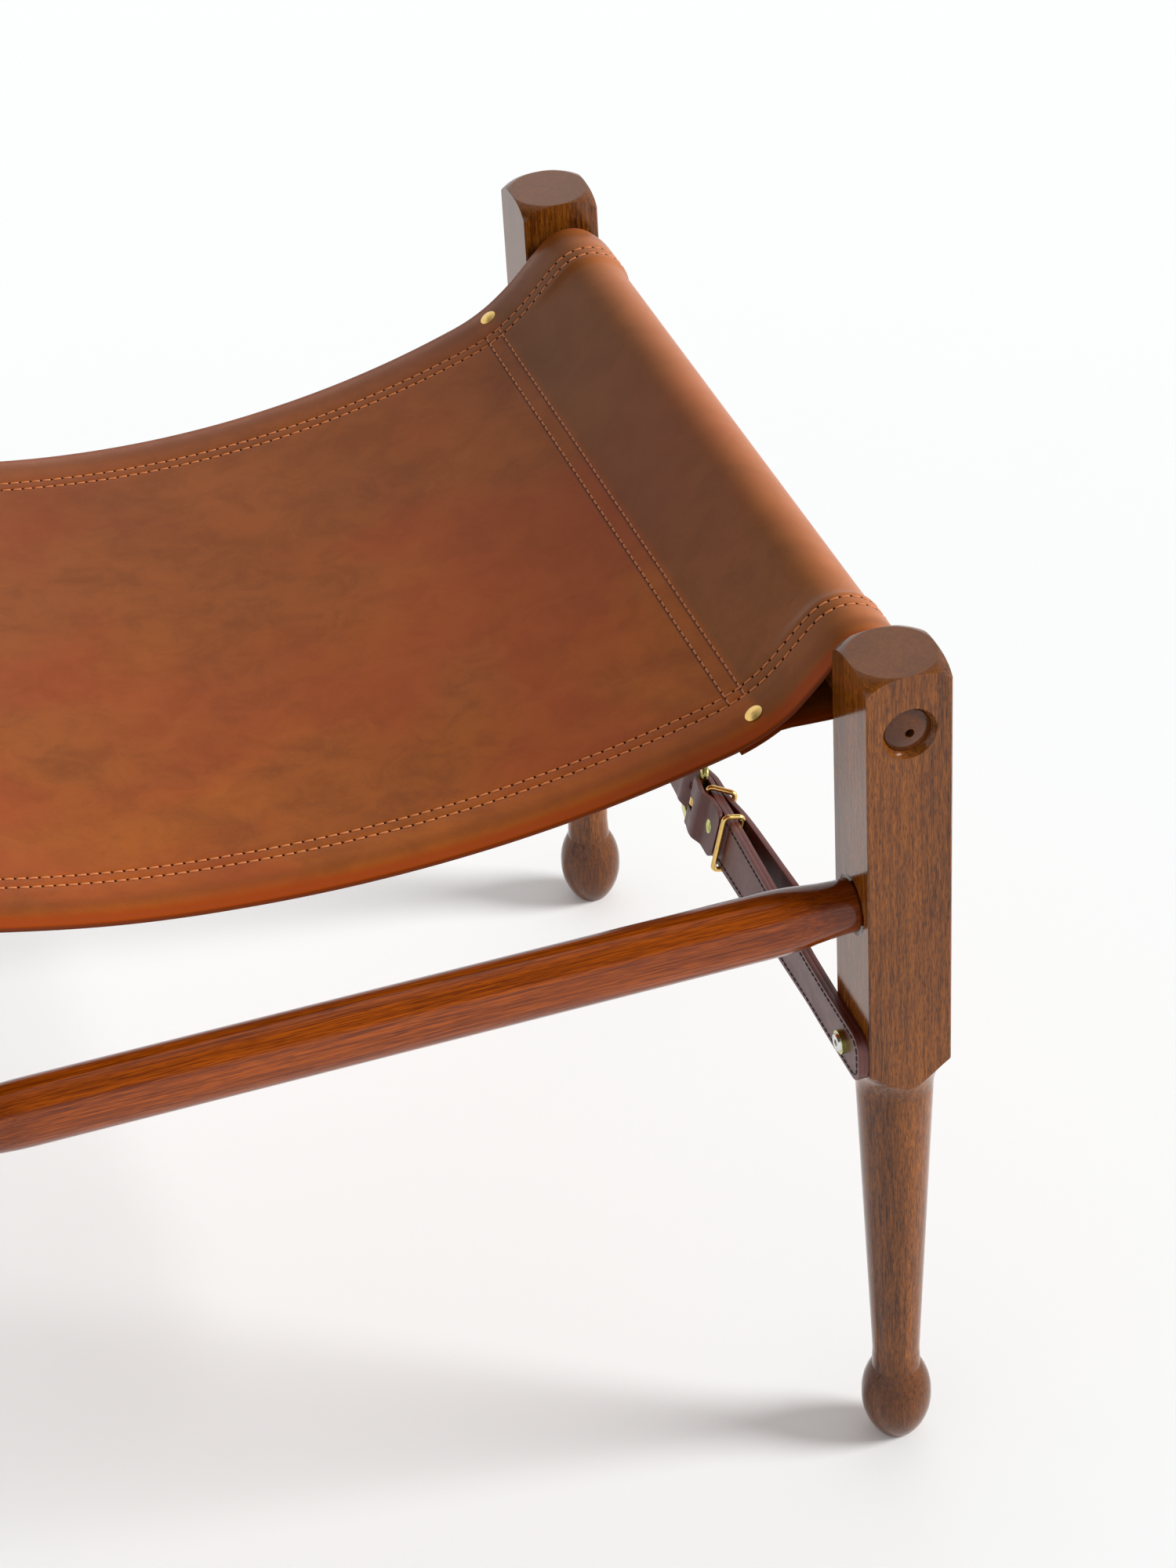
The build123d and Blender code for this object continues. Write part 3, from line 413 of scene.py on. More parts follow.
class Graph:
    """Adds nodes to a shader tree. An input given as a socket is linked, else it is set."""

    def __init__(self, tree):
        self.tree = tree

    def add(self, kind, inputs=None, **settings):
        node = self.tree.nodes.new("ShaderNode" + kind)
        for name, value in settings.items():
            setattr(node, name, value)
        for key, value in (inputs or {}).items():
            socket = node.inputs[key]
            if isinstance(value, bpy.types.NodeSocket):
                self.tree.links.new(value, socket)
            else:
                socket.default_value = opaque(value) if socket.type == "RGBA" else value
        return node

    def surface(self, shader):
        """Makes a shader the look of the material."""
        self.add("OutputMaterial", {"Surface": shader.outputs[0]}, is_active_output=True)

    def math(self, operation, first, second=0.0):
        return self.add("Math", {0: first, 1: second}, operation=operation).outputs[0]

    def axis(self, vector, index):
        """One part of a vector: 0, 1 or 2 for X, Y or Z."""
        return self.add("SeparateXYZ", {0: vector}).outputs[index]

    def noise(self, vector, scale, detail, roughness, distortion):
        """A noise value about 0.5, over a vector in metres."""
        if isinstance(scale, tuple):
            stretched = self.add("VectorMath", {0: vector, 1: scale}, operation="MULTIPLY")
            vector, scale = stretched.outputs[0], 1.0
        inputs = {
            "Vector": vector,
            "Scale": scale,
            "Detail": detail,
            "Roughness": roughness,
            "Distortion": distortion,
        }
        return self.add("TexNoise", inputs).outputs["Fac"]

    def ramp(self, value, low, high, start=0.0, end=1.0):
        """A value carried smoothly from one range to another."""
        inputs = {0: value, 1: low, 2: high, 3: start, 4: end}
        return self.add("MapRange", inputs, interpolation_type="SMOOTHSTEP").outputs[0]

    def band(self, value, middle, half_width):
        """1 on a line of a coordinate, falling to 0 at half its width away."""
        away = self.math("ABSOLUTE", self.math("SUBTRACT", value, middle))
        return self.ramp(away, 0.0, half_width, 1.0, 0.0)

    def mix(self, share, first, second, blend="MIX"):
        """A mix of two colours. They are inputs 6 and 7 and output 2 of the Mix node."""
        inputs = {0: share, 6: first, 7: second}
        return self.add("Mix", inputs, data_type="RGBA", blend_type=blend).outputs[2]


def empty_graph(owner):
    """The graph of a material or a world, cleared of its nodes."""
    owner.use_nodes = True
    owner.node_tree.nodes.clear()
    return Graph(owner.node_tree)


def shared_effect(make, tints):
    """A shader node group, built once by the function that it is named after. It turns a vector
    and some tints into a colour, a roughness and a height."""
    tree = bpy.data.node_groups.get(make.__name__)
    if tree is not None:
        return tree
    tree = bpy.data.node_groups.new(make.__name__, "ShaderNodeTree")
    sockets = [("INPUT", "Vector", "Vector")]
    sockets += [("INPUT", label, "Color") for label in tints]
    sockets += [("OUTPUT", "Color", "Color")]
    sockets += [("OUTPUT", label, "Float") for label in ("Roughness", "Height")]
    for way, label, kind in sockets:
        tree.interface.new_socket(label, in_out=way, socket_type="NodeSocket" + kind)
    start = tree.nodes.new("NodeGroupInput").outputs
    end = tree.nodes.new("NodeGroupOutput").inputs
    for index, value in enumerate(make(Graph(tree), start)):
        tree.links.new(value, end[index])
    return tree


def wood_grain(graph, start):
    """Straight-grained wood with open pores. The grain runs along the vector's Z."""
    vector = start["Vector"]
    fibre = graph.noise(vector, *FIBRE)
    pore = graph.ramp(graph.noise(vector, *PORE), *PORE_OPENING)
    band = graph.ramp(graph.noise(vector, *FIGURE), *FIGURE_TONE)
    streak = graph.ramp(fibre, *FIBRE_TONE)
    fleck = graph.ramp(graph.noise(vector, *FLECK), *FLECK_TONE)
    tone = graph.math("ADD", graph.math("ADD", band, streak), fleck)
    body = graph.mix(tone, start["Light"], start["Dark"])
    body = graph.mix(graph.math("MULTIPLY", pore, PORE_SHARE), body, start["Pore"])
    raised = graph.math("MULTIPLY", fibre, FIBRE_RELIEF_SHARE)
    return body, graph.ramp(pore, *PORE_GLOSS), graph.math("SUBTRACT", raised, pore)


def oiled_hide(graph, start):
    """Oiled hide: cloudy colour, dark smudges, pale scuffs and a pebbled skin."""
    vector, light, dark = start["Vector"], start["Light"], start["Dark"]
    mottle = graph.noise(vector, *MOTTLE)
    skin = graph.noise(vector, *SKIN)
    pebble = graph.add("TexVoronoi", {"Vector": vector, "Scale": PEBBLE_SCALE}).outputs["Distance"]
    cloud = graph.ramp(graph.noise(vector, *CLOUD), *CLOUD_TONE)
    body = graph.mix(graph.math("ADD", cloud, graph.ramp(mottle, *MOTTLE_TONE)), light, dark)
    body = graph.mix(graph.ramp(graph.noise(vector, *SMUDGE), *SMUDGE_TONE), body, dark)
    body = graph.mix(graph.ramp(graph.noise(vector, *SCUFF), *SCUFF_TONE), body, light)
    speck = graph.ramp(skin, *SKIN_TONE)
    grey = graph.add("CombineColor", {0: speck, 1: speck, 2: speck}).outputs[0]
    body = graph.mix(1.0, body, grey, "MULTIPLY")
    shares = [graph.math("MULTIPLY", part, HIDE_RELIEF_SHARE) for part in (pebble, skin)]
    return body, graph.ramp(mottle, *HIDE_GLOSS), graph.math("ADD", *shares)


def handled_metal(graph, start):
    """Handled metal: a little tarnish in its colour, and fine rubbing in its gloss."""
    tarnish = graph.noise(start["Vector"], *TARNISH)
    body = graph.mix(graph.ramp(tarnish, *TARNISH_TONE), start["Bright"], start["Dull"])
    return body, graph.ramp(tarnish, *METAL_GLOSS), graph.noise(start["Vector"], *RUBBING)


def new_material(name, make, tints, relief, shader, mapping=None):
    """A material round one shared effect: its colour, gloss and bump come from the group, and
    the shader's fixed values are set on its own sockets. Also returns the graph, the effect's
    colour and the shader's socket for it."""
    material = bpy.data.materials.new(name)
    graph = empty_graph(material)
    place = graph.add("TexCoord").outputs["Object"]
    if mapping:
        place = graph.add("Mapping", {"Vector": place, **mapping}).outputs[0]
    group = shared_effect(make, tints)
    effect = graph.add("Group", {"Vector": place, **tints}, node_tree=group).outputs
    height, depth = relief
    bump = graph.add("Bump", {"Height": effect["Height"], "Strength": height, "Distance": depth})
    skin = graph.add("BsdfPrincipled", {
        "Base Color": effect["Color"],
        "Roughness": effect["Roughness"],
        "Normal": bump.outputs[0],
        **shader,
    })
    graph.surface(skin)
    return material, graph, effect["Color"], skin.inputs["Base Color"]


def wood_material(name, light, dark, pore, axis, turn, stretch, darkening):
    """Oiled and waxed wood. The grain runs along an axis, the end grain is even and dull, and
    the wood is darker by a ramp over the axis: a painted shadow of the legs on the
    stretchers' shoulders, darker towards the bottom of a leg, and darker at the rails' tenon
    ends where they soak up the oil."""
    tints = {"Light": light, "Dark": dark, "Pore": pore}
    mapping = {"Rotation": turn, "Scale": stretch}
    material, graph, body, base = new_material(name, wood_grain, tints, WOOD_RELIEF, WAX, mapping)
    place = graph.add("TexCoord").outputs
    facing = graph.math("ABSOLUTE", graph.axis(place["Normal"], axis))
    share = END_GRAIN_LIGHT_SHARE
    even = [bright * share + dim * (1 - share) for bright, dim in zip(light, dark)]
    body = graph.mix(graph.ramp(facing, *END_GRAIN_TONE), body, even)
    along = graph.math("ABSOLUTE", graph.axis(place["Object"], axis))
    body = graph.mix(graph.ramp(along, *darkening), body, dark)
    graph.tree.links.new(body, base)
    return material


def metal_material(name, bright, dull):
    """A plain metal with light handling marks."""
    tints = {"Bright": bright, "Dull": dull}
    return new_material(name, handled_metal, tints, METAL_RELIEF, METAL)[0]


def seat_material(finish, seat, section):
    """The seat's hide, with painted shade in the stitched furrows, on the panel past the seam and
    along the hem, and painted highlights where it folds over at the edge and on top of the sleeve.
    """
    tints = {"Light": finish.seat_light, "Dark": finish.seat_dark}
    material, graph, body, base = new_material(
        "seat_hide", oiled_hide, tints, SEAT_RELIEF, SEAT_OIL
    )
    flat = graph.add("UVMap", uv_map="flat").outputs[0]
    along = graph.math("ABSOLUTE", graph.axis(flat, 0))
    from_edge = graph.axis(flat, 1)
    place = graph.add("TexCoord").outputs["Object"]
    back = graph.axis(place, 1)

    # The painted shade of the stitched furrows: both rows along the edge and the seam's two rows
    furrow = graph.band(from_edge, seat.outer_row, seat.furrow_width)
    rows = [graph.band(from_edge, seat.inner_row, seat.furrow_width)]
    inside = graph.ramp(from_edge, seat.outer_row, seat.outer_row + SEAM_ONSET)
    for seam in section.seam_places:
        rows.append(graph.math("MULTIPLY", graph.band(along, seam, seat.furrow_width), inside))
    for row in rows:
        furrow = graph.math("MAXIMUM", furrow, row)

    start = [section.seam_places[1] + reach for reach in PANEL_START]
    stop = [section.sleeve_along + reach for reach in PANEL_STOP]
    past_seam = graph.ramp(along, *start, 0.0, PANEL_SHADE_SHARE)
    before_sleeve = graph.ramp(along, *stop, 1.0, 0.0)
    crest = graph.band(along, section.crest_along, CREST_HALF_WIDTH)
    hem_shade = graph.band(from_edge, HEM_SHADE_PLACE, HEM_SHADE_HALF_WIDTH)
    edge_highlight = graph.ramp(from_edge, *EDGE_HIGHLIGHT)
    layers = [
        (graph.ramp(graph.noise(place, *PATCH), *PATCH_TONE), finish.seat_blush),
        (graph.ramp(back, *BACK_TONE), finish.seat_dark),
        # Painted shade on the panel between the seam and the sleeve
        (graph.math("MULTIPLY", past_seam, before_sleeve), finish.seat_panel_shade),
        # Painted highlight on top of the sleeve
        (graph.math("MULTIPLY", crest, CREST_HIGHLIGHT_SHARE), finish.seat_crest_highlight),
        (graph.math("MULTIPLY", hem_shade, HEM_SHADE_SHARE), finish.seat_dark),
        # Painted highlight along the folded edge, brighter at the front
        (graph.math("MULTIPLY", edge_highlight, graph.ramp(back, *BACK_HIGHLIGHT_FADE)), finish.seat_edge_highlight),
        (graph.ramp(from_edge, *EDGE_LINE), finish.seat_line),
        # Painted shade in the stitched furrows
        (graph.math("MULTIPLY", furrow, FURROW_SHADE_SHARE), finish.seat_furrow_shade),
    ]
    for share, rgb in layers:
        body = graph.mix(share, body, rgb)
    graph.tree.links.new(body, base)
    return material


def strap_material(name, light, dark):
    """The belts' hide."""
    tints = {"Light": light, "Dark": dark}
    return new_material(name, oiled_hide, tints, BELT_RELIEF, BELT_OIL)[0]


def thread_material(name, rgb):
    """Twisted thread: plies as fine stripes across its length, with painted shade in the grooves
    between them.
    """
    material = bpy.data.materials.new(name)
    graph = empty_graph(material)
    place = graph.add("TexCoord").outputs["Object"]
    inputs = {"Vector": place, "Scale": PLY_SCALE, "Distortion": PLY_DISTORTION}
    wave = graph.add("TexWave", inputs, bands_direction="DIAGONAL").outputs["Fac"]
    body = graph.mix(wave, shaded(rgb, PLY_GROOVE_SHADE_SHARE), rgb)
    height, depth = THREAD_RELIEF
    bump = graph.add("Bump", {"Height": wave, "Strength": height, "Distance": depth})
    graph.surface(graph.add("BsdfPrincipled", {
        "Base Color": body, "Normal": bump.outputs[0], "Roughness": THREAD_ROUGHNESS
    }))
    return material


def plain_material(name, kind, inputs):
    """A material that is one shader with fixed values."""
    material = bpy.data.materials.new(name)
    graph = empty_graph(material)
    graph.surface(graph.add(kind, inputs))
    return material


# The sling seat

# How finely its section is cut: steps of slope in radians, and shares of its straight runs
ARC_STEP = 0.01
KNEE_STEP = 0.035
SLEEVE_STEP = 0.09
LEAF_STEP = 0.04
RUN_STEP_SHARE = 0.125
RETURN_STEP_SHARE = 0.1

# Over the returned leaf's straight run: where it is cut off, where it bends and where its hem
# comes to lie flat
RETURN_END_SHARE = 0.9
RETURN_BEND_SHARES = (0.6, 1.2)
RETURN_HEM_SHARES = (0, 0.8)

# Cuts over a stitched furrow, as shares of its half width, and where other cuts keep clear
SEAM_CUT_SHARES = (-1.2, -0.6, 0, 0.6, 1.2)
ROW_CUT_SHARES = (-1.5, -0.75, 0, 0.75, 1.5)
SEAM_CLEAR_SHARE = 1.6

# Other cuts across the seat: in from its edge, in from the hem's end, over each half of its
# middle, and round its rolled edge
EDGE_CUTS = (5.5 * MM, 8.5 * MM, 12.5 * MM, 17 * MM, 21.5 * MM)
HEM_CUTS = (-0.5 * MM, 0.5 * MM, 3 * MM, 6 * MM)
CENTRE_CUTS = 14
ROLL_STEPS = 10

# How wide a furrow's bell is, by the furrow's half width, and how much of it shows underneath
BELL_SHARE = 0.7
UNDER_FURROW_SHARE = 0.7

# How far outside and inside the hem's end the leather steps down, on top and underneath
HEM_STEP_TOP = (1 * MM, 5 * MM)
HEM_STEP_UNDER = (0.4 * MM, 0.4 * MM)

# The hide's wander: its wavelength, where the calm middle gives way to it, how much of it the
# middle has, and where it dies out before the rail, in sleeve radii
WANDER_LENGTH = 75 * MM
CALM_MIDDLE = (40 * MM, 60 * MM)
CALM_SHARE = 0.5
CALM_SLEEVE_SHARES = (1.4, 1)

# The waist ends this many sleeve radii before the rail, and the painted highlight on the crest lies
# this far in radians past the sleeve's top
WAIST_END_SHARE = 2
CREST_TURN = 0.6

# A stitch: places along its pitch, and its height and fullness there in thread radii
STITCH_SHARES = (0.06, 0.18, 0.5, 0.82, 0.94)
STITCH_LIFT_SHARES = (-0.6, 0.35, 0.5, 0.35, -0.6)
STITCH_SWELL_SHARES = (0.7, 1.0, 1.0, 1.0, 0.7)
STITCH_SIDES = 6

# A needle's hole, in its radii: how far before its stitch, how far above the furrow's floor and
# how long it is
HOLE_BACK_SHARE = 0.6
HOLE_LIFT_SHARE = 1 / 3
HOLE_LENGTH_SHARE = 0.8

# Stitched rows: their steps across the seat, and where the long ones stop, underneath before
# the seam and on top before the leaf's end
SEAM_STEP = 5 * MM
UNDER_ROW_STOP = 22 * MM
TOP_ROW_STOP = 2 * MM


class Station:
    """One cut across the seat: its outer point in X and Z, the way into the leather, how far
    the hem shifts the outer and the inner face there, and how far along the sheet it lies."""

    def __init__(self, point, turn, outer_shift, inner_shift):
        self.x, self.z = point
        self.into = (sin(turn), -cos(turn))
        self.outer_shift = outer_shift
        self.inner_shift = inner_shift
        self.along = 0.0

    def mirrored(self):
        """The same cut on the left half."""
        other = Station((-self.x, self.z), 0.0, self.outer_shift, self.inner_shift)
        other.into = (-self.into[0], self.into[1])
        other.along = -self.along
        return other

    def inside(self, depth):
        """The point at a depth below the outer one, in X and Z."""
        return (self.x + self.into[0] * depth, self.z + self.into[1] * depth)


class SeatSection:
    """The seat's section: a wide arc, the knee at the seam, a straight run, the sleeve round
    the rail, and the leaf that returns under the seam."""

    def __init__(self, seat):
        self.seat = seat
        self.middle = RAIL_Z - seat.drop
        reach = (
            RAIL_X * sin(seat.leave)
            - seat.drop * cos(seat.leave)
            - SLEEVE_RADIUS
            - seat.knee_radius * (1 - cos(seat.leave - seat.bend))
        )
        self.wide_radius = reach / (cos(seat.leave - seat.bend) - cos(seat.leave))
        x, z = self.wide_point(seat.bend)
        self.knee_centre = (
            x - seat.knee_radius * sin(seat.bend),
            z + seat.knee_radius * cos(seat.bend),
        )
        self.stations = self.half_section()
        self.seam_places = [
            self.wide_radius * seat.bend + seat.knee_radius * (turn - seat.bend)
            for turn in (seat.first_seam, seat.second_seam)
        ]

    def wide_point(self, turn):
        """The point of the wide arc at a slope."""
        return (
            self.wide_radius * sin(turn),
            self.middle + self.wide_radius * (1 - cos(turn)),
        )

    def knee_point(self, turn, depth=0.0):
        """The point of the knee at a slope, or at a depth below it."""
        radius = self.seat.knee_radius + depth
        return (
            self.knee_centre[0] + radius * sin(turn),
            self.knee_centre[1] - radius * cos(turn),
        )

    def sleeve_point(self, turn):
        """The point of the sleeve at a slope."""
        return (RAIL_X - SLEEVE_RADIUS * sin(turn), RAIL_Z + SLEEVE_RADIUS * cos(turn))

    def leaf_slope(self):
        """Slope of the returned leaf, which runs taut from the rail to where it joins."""
        join = self.knee_point(self.seat.join, self.seat.thickness * 2)
        back, below = RAIL_X - join[0], RAIL_Z - join[1]
        return acos(SLEEVE_RADIUS / sqrt(back**2 + below**2)) - atan2(back, below)

    def knee_turns(self):
        """Slopes of the cuts over the knee, close together at the seam's two rows."""
        seat = self.seat
        turns = spaced(seat.bend, seat.leave, KNEE_STEP)
        near = seat.furrow_width / seat.knee_radius
        for seam in (seat.first_seam, seat.second_seam):
            turns = [turn for turn in turns if abs(turn - seam) > near * SEAM_CLEAR_SHARE]
            turns += [seam + near * share for share in SEAM_CUT_SHARES]
        return sorted(turns)

    def half_section(self):
        """All cuts from the seat's middle to the leaf's end, with the length along."""
        seat = self.seat
        under, hem = seat.thickness * 2, seat.hem_thickness
        slope = self.leaf_slope()
        last = slope - pi
        cuts = []
        for turn in spaced(0, seat.bend, ARC_STEP):
            cuts.append(Station(self.wide_point(turn), turn, 0, hem))
        for turn in self.knee_turns()[1:]:
            cuts.append(Station(self.knee_point(turn), turn, 0, hem))
        start, stop = self.knee_point(seat.leave), self.sleeve_point(seat.leave)
        for share in spaced(0, 1, RUN_STEP_SHARE)[1:]:
            lift = eased(share, 0, 1)
            point = between(start, stop, share)
            cuts.append(Station(point, seat.leave, -hem * lift, hem * (1 - lift)))
        sleeve = cuts[-1]
        for turn in spaced(seat.leave, last, SLEEVE_STEP)[1:]:
            cuts.append(Station(self.sleeve_point(turn), turn, -hem, 0))
        start, stop = self.sleeve_point(last), self.knee_point(seat.join, under)
        for share in spaced(0, RETURN_END_SHARE, RETURN_STEP_SHARE)[1:]:
            turn = last + (seat.join - slope) * eased(share, *RETURN_BEND_SHARES)
            inner_shift = -hem * eased(share, *RETURN_HEM_SHARES)
            cuts.append(Station(between(start, stop, share), turn, -hem, inner_shift))
        for turn in spaced(seat.join - ARC_STEP, seat.leaf_end, LEAF_STEP):
            cuts.append(Station(self.knee_point(turn, under), turn - pi, -hem, -hem))
        half = seat.thickness / 2
        for before, cut in zip(cuts, cuts[1:]):
            ends = zip(before.inside(half), cut.inside(half))
            cut.along = before.along + sqrt(sum((stop - start) ** 2 for start, stop in ends))
        self.sleeve_along = sleeve.along
        self.crest_along = sleeve.along + SLEEVE_RADIUS * (seat.leave + CREST_TURN)
        return cuts

    def all_cuts(self):
        """The cuts of both halves, from the left leaf's end to the right one's."""
        return [cut.mirrored() for cut in reversed(self.stations[1:])] + self.stations

    def half_width(self, x):
        """The seat's half width, drawn in as an arc between the sleeves."""
        waist = self.seat.waist
        span = RAIL_X - SLEEVE_RADIUS * WAIST_END_SHARE
        if abs(x) >= span:
            return SLING_HALF_WIDTH
        radius = (span**2 + waist**2) / (2 * waist)
        return SLING_HALF_WIDTH - waist + radius - sqrt(radius**2 - x**2)

    def furrow(self, place, rows):
        """How deep stitched rows draw the leather in at a place across them."""
        bell = self.seat.furrow_width * BELL_SHARE
        return self.seat.furrow * sum(exp(-(((place - row) / bell) ** 2)) for row in rows)

    def long_furrow(self, from_edge):
        """How deep the two rows along the edge draw the leather in."""
        return self.furrow(from_edge, (self.seat.outer_row, self.seat.inner_row))

    def over_hem(self, from_edge, step):
        """1 on the hem and 0 inside it, with a step from outside to inside its end."""
        outside, inside = step
        hem_width = self.seat.hem_width
        return 1 - eased(from_edge, hem_width - outside, hem_width + inside)

    def outer_depth(self, cut, from_edge):
        """Depth of the outer face below the section's line."""
        seat = self.seat
        depth = cut.outer_shift * self.over_hem(from_edge, HEM_STEP_TOP) + self.long_furrow(from_edge)
        fall = seat.edge_fall * max(0, 1 - from_edge / seat.edge_slope) ** 2
        seam = 0.0
        if from_edge >= seat.outer_row:
            seam = self.furrow(abs(cut.along), self.seam_places)
        return depth + fall + seam

    def inner_depth(self, cut, from_edge):
        """Depth of the inner face below the section's line."""
        shift = cut.inner_shift * self.over_hem(from_edge, HEM_STEP_UNDER)
        furrow = self.long_furrow(from_edge) if cut.inner_shift > 0 else 0.0
        return self.seat.thickness + shift - furrow * UNDER_FURROW_SHARE

    def place(self, cut, y, depth):
        """A point of the leather, with the slow wander of a real hide."""
        x, z = cut.inside(depth)
        point = Vector((x, y, z))
        if cut.outer_shift == 0:
            stray = self.seat.wander * noise.noise(Vector((cut.x, y, 0.0)) / WANDER_LENGTH)
            quiet = eased(abs(cut.x), *CALM_MIDDLE) * (1 - CALM_SHARE) + CALM_SHARE
            start, stop = [RAIL_X - SLEEVE_RADIUS * share for share in CALM_SLEEVE_SHARES]
            quiet *= 1 - eased(abs(cut.x), start, stop)
            point.z += stray * quiet
        return point

    def stitch_place(self, cut, y, depth, under):
        """A point of a stitched row and the way out of the leather there."""
        out = -1 if under else 1
        normal = Vector((-cut.into[0] * out, 0, -cut.into[1] * out))
        return (self.place(cut, y, depth), normal)


def edge_samples(seat):
    """Distances from the edge, inwards, that catch both furrows and the hem's end."""
    fine = [share * seat.furrow_width for share in ROW_CUT_SHARES]
    values = [seat.edge_roll, *EDGE_CUTS]
    values += [seat.outer_row + step for step in fine]
    values += [(seat.outer_row + seat.inner_row) / 2]
    values += [seat.inner_row + step for step in fine]
    values += [seat.hem_width + step for step in HEM_CUTS]
    return values


def cut_loop(section, cut):
    """The closed outline of one cut: points (y, depth, distance from the edge), from the
    middle of the outer face, over one edge, along the inner face and over the other edge."""
    edge = section.half_width(cut.x)
    samples = edge_samples(section.seat)
    inner_start = edge - samples[-1]
    centre = spaced(0, inner_start, inner_start / CENTRE_CUTS)[:-1]
    rolled = section.seat.edge_roll
    top_edge = section.outer_depth(cut, rolled)
    low_edge = section.inner_depth(cut, rolled)
    outer_half = [(y, section.outer_depth(cut, edge - y), edge - y) for y in centre]
    outer_half += [
        (edge - value, section.outer_depth(cut, value), value) for value in reversed(samples)
    ]
    roll = []
    for step in range(1, ROLL_STEPS):
        turn = pi / 2 - pi * step / ROLL_STEPS
        y = edge - rolled + rolled * cos(turn)
        depth = (top_edge + low_edge) / 2 - (low_edge - top_edge) / 2 * sin(turn)
        roll.append((y, depth, edge - y))
    inner_half = [(edge - value, section.inner_depth(cut, value), value) for value in samples]
    inner_half += [(y, section.inner_depth(cut, edge - y), edge - y) for y in reversed(centre)]
    right = outer_half + roll + inner_half
    left = [(-y, depth, value) for y, depth, value in reversed(right[1:-1])]
    return right + left


def sling_mesh(section):
    """The whole seat as one closed mesh, with its flattened places as UVs in metres."""
    cuts = section.all_cuts()
    loops = [cut_loop(section, cut) for cut in cuts]
    count = len(loops[0])
    points = []
    flat = []
    for cut, loop in zip(cuts, loops):
        for y, depth, from_edge in loop:
            points.append(section.place(cut, y, depth))
            flat.append((cut.along, from_edge))
    faces = []
    for index in range(len(cuts) - 1):
        faces += ring_faces(index * count, count)
    # Both ends of the sheet are closed by strips from its left to its right
    for base in (0, (len(cuts) - 1) * count):
        for step in range(count // 2):
            across = [base + (count - step - 1) % count, base + (count - step) % count]
            corners = list(dict.fromkeys([base + step, base + step + 1, *across]))
            if len(corners) > 2:
                faces.append(tuple(corners))
    mesh = smooth_mesh("seat_sling_leather", points, faces)
    layer = mesh.uv_layers.new(name="flat")
    for loop in mesh.loops:
        layer.data[loop.index].uv = flat[loop.vertex_index]
    return mesh


def stitches_along(path, pitch):
    """Cuts a path, a list of points with their outward normals, into stitches. Each is five
    such points."""
    reach = [0.0]
    for (start, _), (stop, _) in zip(path, path[1:]):
        reach.append(reach[-1] + (stop - start).length)
    count = max(1, int(reach[-1] / pitch))
    step = reach[-1] / count
    index = 0
    for number in range(count):
        stitch = []
        for share in STITCH_SHARES:
            wanted = (number + share) * step
            while index < len(path) - 2 and reach[index + 1] < wanted:
                index += 1
            part = (wanted - reach[index]) / max(reach[index + 1] - reach[index], TINY)
            (start, out), (stop, next_out) = path[index], path[index + 1]
            stitch.append((start.lerp(stop, part), out.lerp(next_out, part).normalized()))
        yield stitch


def stitch_shapes(paths, pitch, radius, add):
    """Points and faces of what a function adds at every stitch of the paths."""
    points, faces = [], []
    for path in paths:
        for stitch in stitches_along(path, pitch):
            add(points, faces, stitch, radius)
    return points, faces


def round_points(middle, across, up, radius, up_share=1.0):
    """Points round a middle, drawn in along one way by a share."""
    points = []
    for side in range(STITCH_SIDES):
        turn = 2 * pi * side / STITCH_SIDES
        spoke = across * cos(turn) + up * sin(turn) * up_share
        points.append(middle + spoke * radius)
    return points


def add_bead(points, faces, stitch, radius):
    """One stitch: a bead of thread, full in its middle and diving into the leather at its ends."""
    along = (stitch[-1][0] - stitch[0][0]).normalized()
    start = len(points)
    for (centre, normal), lift, swell in zip(stitch, STITCH_LIFT_SHARES, STITCH_SWELL_SHARES):
        across = along.cross(normal).normalized()
        middle = centre + normal * (radius * lift)
        points += round_points(middle, across, normal, radius * swell)
    last = len(points) - STITCH_SIDES
    for ring in range(start, last, STITCH_SIDES):
        faces += ring_faces(ring, STITCH_SIDES)
    faces += [tuple(range(end, end + STITCH_SIDES)) for end in (start, last)]


def add_hole(points, faces, stitch, radius):
    """The needle's hole before a stitch: a small lozenge of painted shade."""
    (first, normal), (second, _) = stitch[0], stitch[1]
    along = (second - first).normalized()
    across = along.cross(normal).normalized()
    middle = first - along * radius * HOLE_BACK_SHARE + normal * radius * HOLE_LIFT_SHARE
    start = len(points)
    points += round_points(middle, across, along, radius, HOLE_LENGTH_SHARE)
    faces.append(tuple(range(start, len(points))))


def long_row(section, row, side, under):
    """A path along one edge of the seat, on its outer or its inner face."""
    path = []
    for cut in section.all_cuts():
        if under and abs(cut.along) > section.seam_places[0] - UNDER_ROW_STOP:
            continue
        if not under and section.stations[-1].along - abs(cut.along) < TOP_ROW_STOP:
            continue
        depth = section.inner_depth(cut, row) if under else section.outer_depth(cut, row)
        y = side * (section.half_width(cut.x) - row)
        path.append(section.stitch_place(cut, y, depth, under))
    return path


